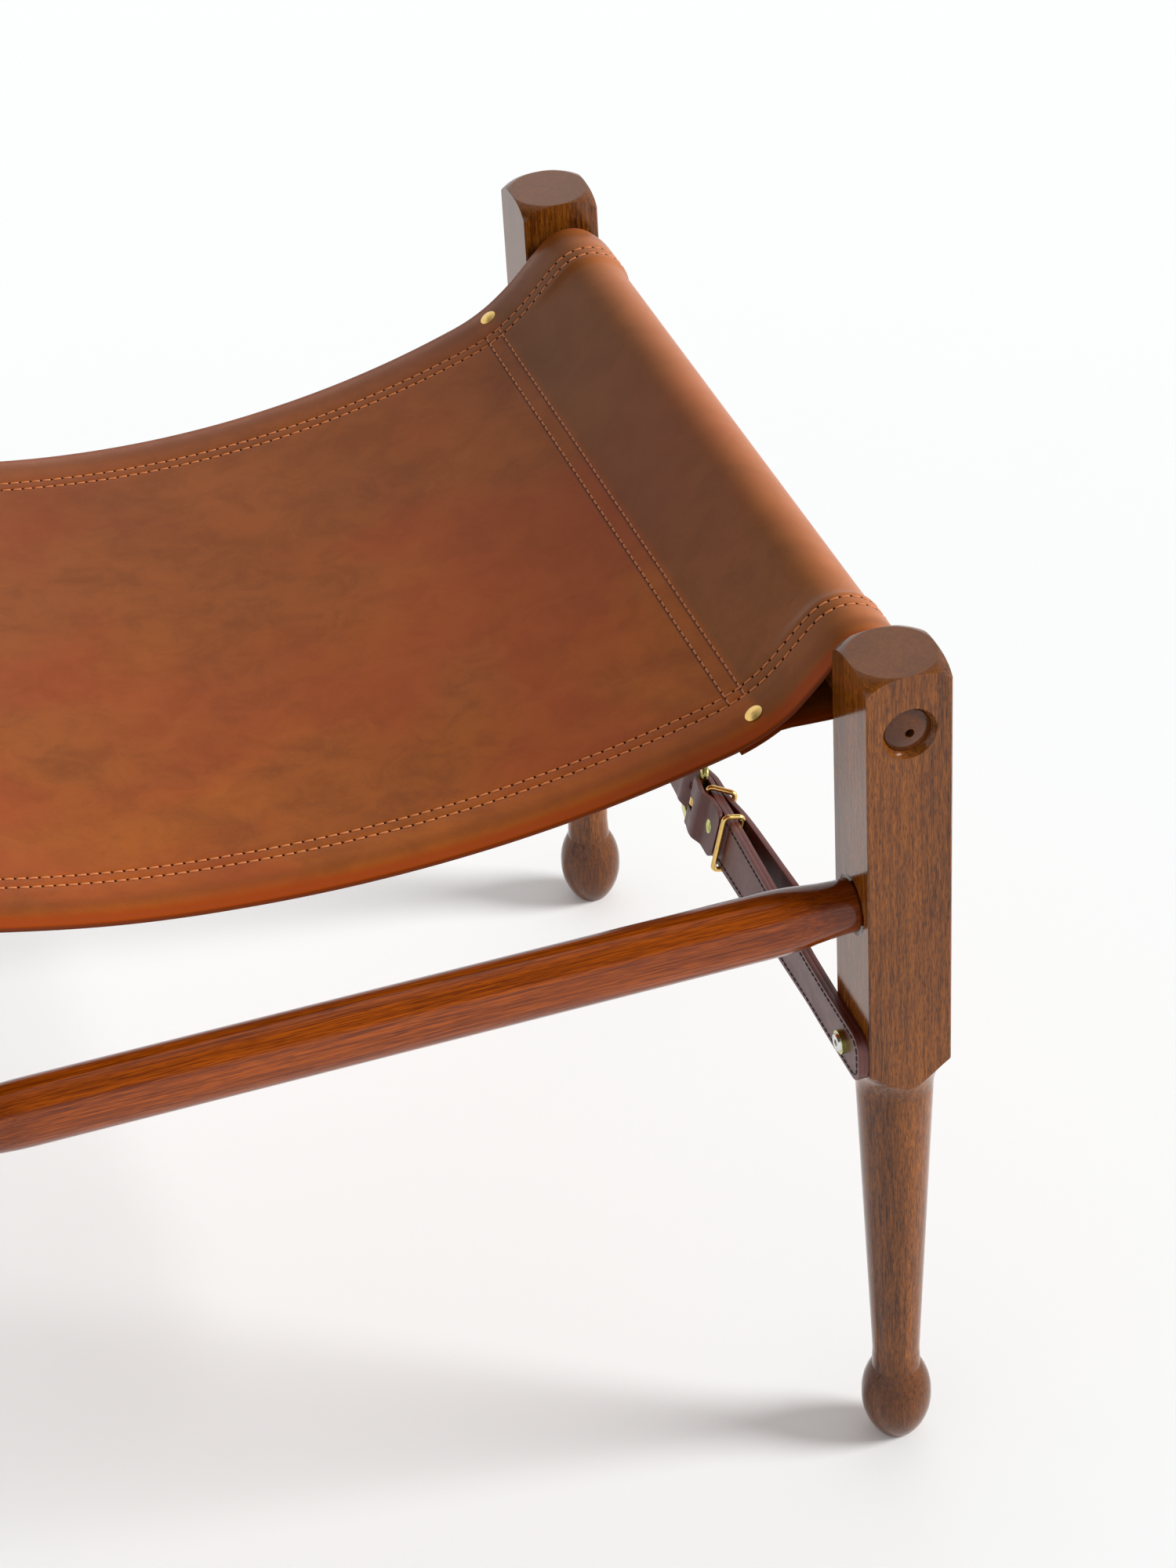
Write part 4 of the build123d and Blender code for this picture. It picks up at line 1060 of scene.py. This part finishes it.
def seam_row(section, turn, place, side, under):
    """A path across the seat along one row of the seam, on top or on the leaf below."""
    seat = section.seat
    cut = Station(section.knee_point(turn), turn, 0, 0)
    cut.along = place
    if side < 0:
        cut = cut.mirrored()
    half_width = section.half_width(cut.x)
    limit = half_width - seat.outer_row
    hem_start = limit + seat.outer_row - seat.hem_width
    path = []
    for y in spaced(-limit, limit, SEAM_STEP):
        depth = section.outer_depth(cut, half_width - abs(y))
        if under:
            over_hem = eased(abs(y), hem_start - SEAM_STEP, hem_start)
            depth = seat.thickness * 2 + seat.hem_thickness * over_hem
        path.append(section.stitch_place(cut, y, depth, under))
    return path


def build_sling(scene):
    """Hangs the seat over its rails."""
    seat = scene.stool_seat
    section = SeatSection(seat)
    material = seat_material(scene.stool_finish, seat, section)
    sling = new_piece("seat_sling_leather", sling_mesh(section), [material])
    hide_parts("seat_sling")


def build_seat_sewing(scene):
    """Sews the seat's hems and its two seams, and marks the needle's holes with small lozenges of
    painted shade.
    """
    seat, thread = scene.stool_seat, scene.stool_thread
    section = SeatSection(seat)
    seams = list(zip((seat.first_seam, seat.second_seam), section.seam_places))
    paths = []
    for side in (-1, 1):
        for row in (seat.outer_row, seat.inner_row):
            paths += [long_row(section, row, side, under) for under in (False, True)]
        for turn, place in seams:
            paths += [seam_row(section, turn, place, side, under) for under in (False, True)]
    beads = stitch_shapes(paths, thread.seat_pitch, thread.seat_radius, add_bead)
    material = thread_material("seat_thread", thread.seat_colour)
    new_piece("seat_sewing", smooth_mesh("seat_sewing", *beads), [material])
    holes = stitch_shapes(paths, thread.seat_pitch, thread.hole_radius, add_hole)
    look = {"Base Color": thread.hole_shade_colour, "Roughness": HOLE_ROUGHNESS, "Specular IOR Level": 0.0}
    dark = plain_material("needle_hole_shade", "BsdfPrincipled", look)
    new_piece("seat_needle_hole_shade", new_mesh("seat_needle_hole_shade", *holes), [dark])


# The belts

# Steps: in radians round the ends and the heel bar, the flap's corners and the stitched corners,
# and in metres along the near strap
END_STEP = 0.22
FLAP_CORNER_STEP = 0.25
STITCH_CORNER_STEP = 0.3
STRAP_STEP = 4 * MM

# The flap: at distances from the heel bar, the share by which it has bulged, and then settled
FLAP_BULGE = ((-2.5 * MM, 0.15), (-5.5 * MM, 0.65), (-8.5 * MM, 1))
FLAP_SETTLE = ((-11.8 * MM, 0), (-13.2 * MM, 0.15), (-17.4 * MM, 0.9), (-19.2 * MM, 1))

# The billet at the frame: its room beside the outer bar, how far beyond it stands upright, and
# how much further its route has one more place
BAR_ROOM = 1 * MM
UPRIGHT_ROOM = 60 * MM
STRAIGHT_LENGTH = 90 * MM

# The billet's tail: where the keeper holds it down and where it has lifted, from the heel bar,
# and its share of the belt's lean there and at its end
KEPT_PLACES = (-5 * MM, -16 * MM)
LIFT_PLACE = -35 * MM
LIFT_TILT_SHARE = 0.85
END_TILT_SHARE = 0.4

# By what share the corners of the billet's route are cut, how often, and how far apart its
# places then are
CORNER_SHARE = 0.22
CORNER_ROUNDS = 3
BILLET_STEP = 1.5 * MM

# Cuts along the tail, up to its point and over it, in lengths of the point
TAIL_SHARES = (0.25, 0.5, 0.75, 1.0)
POINT_SHARES = (0.15, 0.35, 0.55, 0.75, 0.9, 1.0)

# Places across a strap, as shares of its half width, besides a slot's edges
STRAP_SHARES = (0.45, 0.72, 0.97, 1)

# Cut edges that turn by more than this angle are eased, in this many steps
EASED_ANGLE = radians(50)
EASED_STEPS = 2

# Slots: half their width, and their ends from the heel bar
TONGUE_SLOT = (3 * MM, -5.2 * MM, 10 * MM)
PIN_SLOT = (2 * MM, -1.5 * MM, 14.5 * MM)


class BeltLine:
    """Where the right-hand belt runs. Distances go from the near leg's axis to the far leg's,
    and a place is a way out of the belt's line, square to the leaning belt."""

    def __init__(self, belt):
        self.belt = belt
        self.start_x = LEG_FACE_X - belt.layer - belt.layer_gap - belt.heel_bar
        self.low = belt.heel_bar
        self.high = belt.heel_bar + belt.layer
        self.twist_end = belt.buckle_distance - belt.flap

    def x(self, distance):
        """X of the belt's line."""
        beyond = max(distance - HALF_LEG, 0)
        span = self.belt.buckle_distance - HALF_LEG
        return self.start_x + self.belt.outset * beyond / span

    def tilt(self, distance):
        """How far the near strap leans."""
        belt = self.belt
        share = (distance - belt.twist_start) / (self.twist_end - belt.twist_start)
        return belt.tilt * min(max(share, 0), 1)

    def point(self, distance, tilt, out, up=0.0):
        """A point out of the belt's line and up its width."""
        x = self.x(distance) + out * cos(tilt) + up * sin(tilt)
        return Vector((x, distance - LEG_Y, BELT_Z - out * sin(tilt) + up * cos(tilt)))

    def station(self, distance, tilt, out, half_width):
        """A cut of a strap: its middle, the way up its width, and its half width."""
        return (self.point(distance, tilt, out), Vector((sin(tilt), 0, cos(tilt))), half_width)

    def round_end(self, towards, origin):
        """Distances and half widths over the rounded end at a leg, from its tip inwards."""
        belt = self.belt
        places = []
        for turn in spaced(0, pi / 2, END_STEP):
            inwards = -belt.end_reach + belt.end_round * (1 - cos(turn))
            half = belt.width / 2 - belt.end_round * (1 - sin(turn))
            places.append((origin + towards * inwards, half))
        return places

    def near_run(self, out, stop):
        """Cuts of one layer of the near strap, from the leg's end to a distance."""
        belt = self.belt
        stations = [
            self.station(distance, 0, out, half) for distance, half in self.round_end(1, 0)
        ]
        start = belt.end_round - belt.end_reach
        for distance in spaced(start, stop, STRAP_STEP)[1:]:
            stations.append(self.station(distance, self.tilt(distance), out, belt.width / 2))
        return stations

    def fold(self):
        """Cuts of the outer layer round the heel bar and down the flap."""
        belt = self.belt
        half_width, half_layer = belt.width / 2, belt.layer / 2
        middle = (self.low + self.high) / 2
        places = []
        for turn in spaced(pi / 2, -pi / 2, END_STEP)[1:]:
            places.append((middle * cos(turn), middle * sin(turn), half_width))
        for back, share in FLAP_BULGE:
            places.append((back, -self.low - belt.bulge * share - half_layer, half_width))
        inside = -self.low - belt.bulge
        flat = self.low - (belt.layer * 2 + belt.layer_gap) - belt.flap_gap + belt.layer
        for back, share in FLAP_SETTLE:
            places.append((back, inside + (flat - inside) * share - half_layer, half_width))
        corner = belt.flap_corner
        for turn in spaced(0, pi / 2, FLAP_CORNER_STEP):
            back = corner * (1 - sin(turn)) - belt.flap
            places.append((back, flat - half_layer, half_width - corner * (1 - cos(turn))))
        return [
            self.station(belt.buckle_distance + back, belt.tilt, out, half)
            for back, out, half in places
        ]

    def frame_place(self, along, above):
        """A place given along and above the buckle frame."""
        turn = self.belt.frame_angle
        return (
            along * cos(turn) - above * sin(turn),
            along * sin(turn) + above * cos(turn),
        )

    def billet_route(self):
        """The billet's middle from the far leg: distance, tilt, and way out of the line."""
        belt = self.belt
        half = belt.billet / 2
        below = -(belt.frame_thickness / 2 + belt.under_frame + half)
        bar_edges = (
            belt.frame_reach + belt.frame_bar / 2 + BAR_ROOM,
            belt.frame_reach - belt.frame_bar / 2 - BAR_ROOM,
        )
        passing = [self.frame_place(edge, below) for edge in bar_edges]
        passing.append((self.low, self.high + belt.over_heel + half))
        passing += [(place, self.high + half + belt.tail_gap) for place in KEPT_PLACES]
        upright = belt.buckle_distance + passing[0][0] + UPRIGHT_ROOM
        route = []
        for distance in (LEG_Y * 2 - HALF_LEG, upright + STRAIGHT_LENGTH, upright):
            route.append((distance, 0.0, LEG_FACE_X - half - self.x(distance)))
        for past_heel, out in passing:
            route.append((belt.buckle_distance + past_heel, belt.tilt, out))
        lifted = belt.buckle_distance + LIFT_PLACE
        route.append((lifted, belt.tilt * LIFT_TILT_SHARE, self.high + half + belt.tail_lift))
        end = belt.buckle_distance - belt.tail + belt.tail_point * 2
        route.append((end, belt.tilt * END_TILT_SHARE, self.high + half + belt.tail_end_lift))
        return route

    def billet_stations(self):
        """Cuts of the billet, from its rounded end at the far leg to its pointed tail."""
        belt = self.belt
        half_width = belt.width / 2
        route = rounded_route(self.billet_route(), CORNER_ROUNDS, CORNER_SHARE)
        route = filled_route(route, BILLET_STEP)
        stations = []
        for distance, half in self.round_end(-1, LEG_Y * 2):
            stations.append(self.station(distance, 0, route[0][2], half))
        for distance, tilt, out in route:
            stations.append(self.station(distance, tilt, out, half_width))
        before, last = route[-2:]
        rise = (last[2] - before[2]) / (before[0] - last[0])
        tail = [(share, 0) for share in TAIL_SHARES]
        tail += [(1 + share, share) for share in POINT_SHARES]
        for reach, taper in tail:
            step = belt.tail_point * reach
            half = half_width * (1 - taper) + belt.tail_tip * taper
            stations.append(self.station(last[0] - step, last[1], last[2] + rise * step, half))
        return stations


def rounded_route(route, rounds, share):
    """A route with its corners cut, again and again, by a share of each leg."""
    for _ in range(rounds):
        cut = [route[0]]
        for before, after in zip(route, route[1:]):
            cut += [between(before, after, share), between(after, before, share)]
        route = cut + [route[-1]]
    return route


def filled_route(route, step):
    """A route with places added where two are further apart than a step."""
    filled = [route[0]]
    for before, after in zip(route, route[1:]):
        for share in spaced(0, 1, step / max(abs(after[0] - before[0]), step))[1:]:
            filled.append(between(before, after, share))
    return filled


def strip_mesh(name, stations, half_slot, thickness, left_out, belt):
    """A leather strip: a grid along its stations, thickened, with its cut edges eased. Its
    surfaces take the first material and its cut edges the second."""
    slot = half_slot / (belt.width / 2)
    columns = [-share for share in reversed(STRAP_SHARES)] + [-slot, 0, slot, *STRAP_SHARES]
    points, faces = [], []
    for centre, across, half in stations:
        points += [centre + across * (half * share) for share in columns]
    count = len(columns)
    for index in range(len(stations) - 1):
        for step in range(count - 1):
            if left_out and left_out(index, (columns[step] + columns[step + 1]) / 2):
                continue
            low, high = index * count, (index + 1) * count
            faces.append((low + step, low + step + 1, high + step + 1, high + step))
    mesh = smooth_mesh(name, points, faces)
    blank = new_object(name, mesh)
    solid = blank.modifiers.new("thickness", "SOLIDIFY")
    solid.thickness = thickness
    solid.offset = 0
    solid.use_even_offset = True
    solid.material_offset_rim = 1
    for _ in range(2):
        mesh.materials.append(None)
    bevel = blank.modifiers.new("ease", "BEVEL")
    bevel.width = belt.edge_ease
    bevel.segments = EASED_STEPS
    bevel.limit_method = "ANGLE"
    bevel.angle_limit = EASED_ANGLE
    bpy.context.view_layer.update()
    graph = bpy.context.evaluated_depsgraph_get()
    shaped = bpy.data.meshes.new_from_object(blank.evaluated_get(graph))
    bpy.data.objects.remove(blank)
    shaped.name = name
    shaped.materials.clear()
    shaped.shade_smooth()
    return shaped


def slot_in(stations, belt, slot):
    """A function that tells which faces of a strip a slot takes away."""
    half_slot, low, high = slot

    def left_out(index, share):
        distance = (stations[index][0].y + stations[index + 1][0].y) / 2 + LEG_Y
        beside = abs(share) * belt.width / 2 < half_slot
        past_heel = distance - belt.buckle_distance
        return beside and low < past_heel < high

    return left_out


def build_belts(scene):
    """Makes both belts: the two-layer near strap and the billet."""
    belt, finish = scene.stool_belt, scene.stool_finish
    line = BeltLine(belt)
    hide = strap_material("belt_hide", finish.belt_light, finish.belt_dark)
    edge = strap_material("belt_edge", finish.belt_edge, finish.belt_light)
    outer = line.near_run((line.low + line.high) / 2, belt.buckle_distance) + line.fold()
    tongue_slot = slot_in(outer, belt, TONGUE_SLOT)
    lining_out = line.low - belt.layer_gap - belt.layer / 2
    lining = line.near_run(lining_out, belt.buckle_distance - belt.lining_gap)
    billet = line.billet_stations()
    strips = [
        ("near_strap", "buckle_strap", outer, TONGUE_SLOT[0], belt.layer, tongue_slot),
        ("near_lining", "strap_lining", lining, TONGUE_SLOT[0], belt.layer, None),
        ("billet", "billet_strap", billet, PIN_SLOT[0], belt.billet, slot_in(billet, belt, PIN_SLOT)),
    ]
    for name, node, stations, half_slot, thickness, left_out in strips:
        right = strip_mesh("right_" + name, stations, half_slot, thickness, left_out, belt)
        left = right.copy()
        left.name = "left_" + name
        left.transform(HALF_ROUND)
        for end, mesh in zip(ENDS, (right, left)):
            piece = new_piece(f"{end}_{name}", mesh, [hide, edge])
            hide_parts(f"{end}_{node}")


def belt_row(line, out, way, stop):
    """A path round the near strap's face: up one side, round its leg end, and back. The way is
    1 where the face looks out and -1 where it looks in."""
    belt = line.belt
    corner = belt.end_round - belt.stitch_inset
    start = belt.end_round - belt.end_reach
    path = []
    for side in (1, -1):
        leg = []
        for distance in spaced(stop, start, STRAP_STEP):
            tilt = line.tilt(distance)
            up = side * (belt.width / 2 - belt.stitch_inset)
            normal = Vector((cos(tilt), 0, -sin(tilt))) * way
            leg.append((line.point(distance, tilt, out, up), normal))
        for turn in spaced(0, pi / 2, STITCH_CORNER_STEP)[1:]:
            up = side * (belt.width / 2 - belt.end_round + corner * cos(turn))
            place = line.point(start - corner * sin(turn), 0, out, up)
            leg.append((place, Vector((way, 0, 0))))
        path += leg if side > 0 else reversed(leg)
    return path


def build_belt_sewing(scene):
    """Sews the near straps' two layers together along their edges."""
    belt, thread = scene.stool_belt, scene.stool_thread
    line = BeltLine(belt)
    material = thread_material("belt_thread", thread.belt_colour)
    stop = belt.buckle_distance - belt.flap - belt.stitch_stop
    inner_out = line.low - belt.layer_gap - belt.layer
    paths = [belt_row(line, line.high, 1, stop), belt_row(line, inner_out, -1, stop)]
    for end in ENDS:
        name = end + "_belt_sewing"
        beads = stitch_shapes(paths, thread.belt_pitch, thread.belt_radius, add_bead)
        new_piece(name, smooth_mesh(name, *beads), [material])
        # The belt at the other end is this one turned half round
        paths = [
            [(HALF_ROUND @ place, HALF_ROUND @ normal) for place, normal in path] for path in paths
        ]


# Finishes of the pieces that the construction already shapes


def finish_nodes(names, material):
    """Gives one material to construction pieces."""
    for name in names:
        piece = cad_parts[name]
        if piece.material_slots:
            for slot in piece.material_slots:
                slot.material = material
        else:
            piece.data.materials.append(material)


def finish_wood(scene):
    """Finishes the legs, the stretchers and the seat rails."""
    finish = scene.stool_finish
    legs = [f"{depth}_{end}_leg" for depth in ("front", "back") for end in ENDS]
    stretchers = ["front_stretcher", "back_stretcher"]
    rails = [f"{end}_seat_rail" for end in ENDS]
    leg_wood = wood_material(
        "leg_wood", finish.wood_light, finish.wood_dark, finish.wood_pore,
        axis=2, turn=(0, 0, 0), stretch=EVEN, darkening=FOOT_DARKENING,
    )
    bar_wood = wood_material(
        "stretcher_wood", finish.bar_light, finish.bar_dark, finish.bar_dark,
        axis=0, turn=(0, pi / 2, 0), stretch=LONG_GRAIN, darkening=SHOULDER_SHADOW,
    )
    rail_wood = wood_material(
        "rail_wood", finish.rail_light, finish.rail_dark, finish.rail_dark,
        axis=1, turn=(pi / 2, 0, 0), stretch=EVEN, darkening=TENON_SOAKED,
    )
    for names, material in ((legs, leg_wood), (stretchers, bar_wood), (rails, rail_wood)):
        finish_nodes(names, material)


def finish_metal(scene):
    """Finishes the rivets, the buckles, the keepers and the belts' fixings."""
    finish = scene.stool_finish
    dull = shaded(finish.brass, DULL_BRASS_SHARE)
    gold = metal_material("polished_brass", finish.brass, dull)
    green = metal_material("passivated_brass", finish.olive, dull)
    plated = metal_material("plated_steel", finish.steel, shaded(finish.steel, DULL_STEEL_SHARE))
    finish_nodes(["seat_rivets", "seat_rivet_washers", "belt_rivet_washers"], gold)
    for end in ENDS:
        finish_nodes([f"{end}_buckle_tongue", f"{end}_fixed_keeper", f"{end}_runner_keeper"], gold)
        finish_nodes([f"{end}_buckle_frame"], green)
    finish_nodes(["belt_rivets", "belt_collars", "threaded_inserts"], green)
    finish_nodes(["belt_bolts"], plated)


# The stage

# Ramps over the way to a place in the room, by its Y, its X and its Z
CEILING_DEPTH = (-0.2, 0.75)
CEILING_SIDE = (-0.7, 0.2, 0.5, 1.0)
CEILING_RISE = (0.40, 0.78)

# How far off the key stands in metres, and the long side of the camera's film in millimetres
KEY_DISTANCE = 2
LONG_SIDE = 36


def build_floor(stage):
    """A plain pale floor."""
    half = stage.floor_half
    corners = [(-half, -half, 0), (half, -half, 0), (half, half, 0), (-half, half, 0)]
    floor = new_object("floor", new_mesh("floor", corners, [(0, 1, 2, 3)]))
    paper = plain_material("floor_paper", "BsdfDiffuse", {"Color": stage.floor_colour})
    floor.data.materials.append(paper)


def build_light(stage):
    """Pale walls all round under a dimmer ceiling, and one broad lamp from the right."""
    world = bpy.data.worlds.new("studio")
    bpy.context.scene.world = world
    graph = empty_graph(world)
    way = graph.add("TexCoord").outputs["Generated"]
    depth = graph.ramp(graph.axis(way, 1), *CEILING_DEPTH, stage.ceiling_front, stage.ceiling_back)
    ceiling = graph.math("MULTIPLY", depth, graph.ramp(graph.axis(way, 0), *CEILING_SIDE))
    rise = graph.ramp(graph.axis(way, 2), *CEILING_RISE)
    glow = graph.ramp(rise, 0.0, 1.0, stage.walls, ceiling)
    sky = graph.add("Background", {"Color": (1, 1, 1), "Strength": glow})
    graph.add("OutputWorld", {"Surface": sky.outputs[0]})
    lamp = bpy.data.lights.new("key", "SUN")
    lamp.energy = stage.key
    lamp.angle = stage.key_spread
    key = new_object("key", lamp)
    towards = Vector((
        cos(stage.key_turn) * cos(stage.key_height),
        -sin(stage.key_turn) * cos(stage.key_height),
        sin(stage.key_height),
    ))
    key.rotation_mode = "QUATERNION"
    key.rotation_quaternion = towards.to_track_quat("Z", "Y")
    key.location = towards * KEY_DISTANCE


def build_camera(stage):
    """The camera at the photograph's place."""
    yaw, pitch, roll = stage.camera_yaw, stage.camera_pitch, stage.camera_roll
    ahead = Vector((sin(yaw) * cos(pitch), cos(yaw) * cos(pitch), -sin(pitch)))
    level = Vector((cos(yaw), -sin(yaw), 0))
    upright = level.cross(ahead)
    image_right = level * cos(roll) + upright * sin(roll)
    image_up = upright * cos(roll) - level * sin(roll)
    lens = bpy.data.cameras.new("camera")
    lens.sensor_fit = "AUTO"
    lens.sensor_width = LONG_SIDE
    lens.lens = stage.camera_lens
    camera = new_object("camera", lens)
    turn = Matrix((image_right, image_up, -ahead)).transposed()
    camera.matrix_world = Matrix.Translation(Vector(stage.camera_place)) @ turn.to_4x4()
    bpy.context.scene.camera = camera


class STOOL_OT_wood(bpy.types.Operator):
    """Finish the legs, stretchers and seat rails in oiled wood"""

    bl_idname = "stool.wood"
    bl_label = "Finish the wood"

    def execute(self, context):
        finish_wood(context.scene)
        return {"FINISHED"}


class STOOL_OT_metal(bpy.types.Operator):
    """Finish the rivets, buckles, keepers and bolts"""

    bl_idname = "stool.metal"
    bl_label = "Finish the metal"

    def execute(self, context):
        finish_metal(context.scene)
        return {"FINISHED"}


class STOOL_OT_sling(bpy.types.Operator):
    """Hang the leather seat over the two rails"""

    bl_idname = "stool.sling"
    bl_label = "Hang the seat"

    def execute(self, context):
        build_sling(context.scene)
        return {"FINISHED"}


class STOOL_OT_seat_sewing(bpy.types.Operator):
    """Sew the seat's hems and seams"""

    bl_idname = "stool.seat_sewing"
    bl_label = "Sew the seat"

    def execute(self, context):
        build_seat_sewing(context.scene)
        return {"FINISHED"}


class STOOL_OT_belts(bpy.types.Operator):
    """Make the buckled belts at both ends"""

    bl_idname = "stool.belts"
    bl_label = "Make the belts"

    def execute(self, context):
        build_belts(context.scene)
        return {"FINISHED"}


class STOOL_OT_belt_sewing(bpy.types.Operator):
    """Sew the two layers of each near strap"""

    bl_idname = "stool.belt_sewing"
    bl_label = "Sew the belts"

    def execute(self, context):
        build_belt_sewing(context.scene)
        return {"FINISHED"}


class STOOL_OT_stage(bpy.types.Operator):
    """Lay the floor, light the room and place the camera"""

    bl_idname = "stool.stage"
    bl_label = "Set the stage"

    def execute(self, context):
        stage = context.scene.stool_stage
        build_floor(stage)
        build_light(stage)
        build_camera(stage)
        return {"FINISHED"}


class STOOL_PT_sidebar(bpy.types.Panel):
    """Lists the stool's operators and settings"""

    bl_label = "Safari Stool"
    bl_idname = "STOOL_PT_sidebar"
    bl_space_type = "VIEW_3D"
    bl_region_type = "UI"
    bl_category = "Stool"

    def draw(self, context):
        for operator in OPERATORS:
            self.layout.operator(operator.bl_idname)
        for name, group in SETTINGS.items():
            box = self.layout.box()
            box.label(text=group.__doc__)
            for field in group.__annotations__:
                box.prop(getattr(context.scene, name), field)


OPERATORS = (
    STOOL_OT_wood,
    STOOL_OT_metal,
    STOOL_OT_sling,
    STOOL_OT_seat_sewing,
    STOOL_OT_belts,
    STOOL_OT_belt_sewing,
    STOOL_OT_stage,
)
SETTINGS = {
    "stool_seat": SeatSettings,
    "stool_belt": BeltSettings,
    "stool_thread": ThreadSettings,
    "stool_finish": FinishSettings,
    "stool_stage": StageSettings,
}


def register():
    """Registers the settings, the operators and the panel."""
    for group in SETTINGS.values():
        bpy.utils.register_class(group)
    for operator in OPERATORS:
        bpy.utils.register_class(operator)
    bpy.utils.register_class(STOOL_PT_sidebar)
    for name, group in SETTINGS.items():
        setattr(bpy.types.Scene, name, bpy.props.PointerProperty(type=group))


def unregister():
    """Takes away what register added."""
    for name in SETTINGS:
        delattr(bpy.types.Scene, name)
    bpy.utils.unregister_class(STOOL_PT_sidebar)
    for operator in reversed(OPERATORS):
        bpy.utils.unregister_class(operator)
    for group in reversed(SETTINGS.values()):
        bpy.utils.unregister_class(group)


def main():
    """Makes the whole stool."""
    register()
    bpy.ops.stool.wood()
    bpy.ops.stool.metal()
    bpy.ops.stool.sling()
    bpy.ops.stool.seat_sewing()
    bpy.ops.stool.belts()
    bpy.ops.stool.belt_sewing()
    bpy.ops.stool.stage()
    view = bpy.context.scene.view_settings
    view.view_transform = "Standard"


if __name__ == "__main__":
    main()
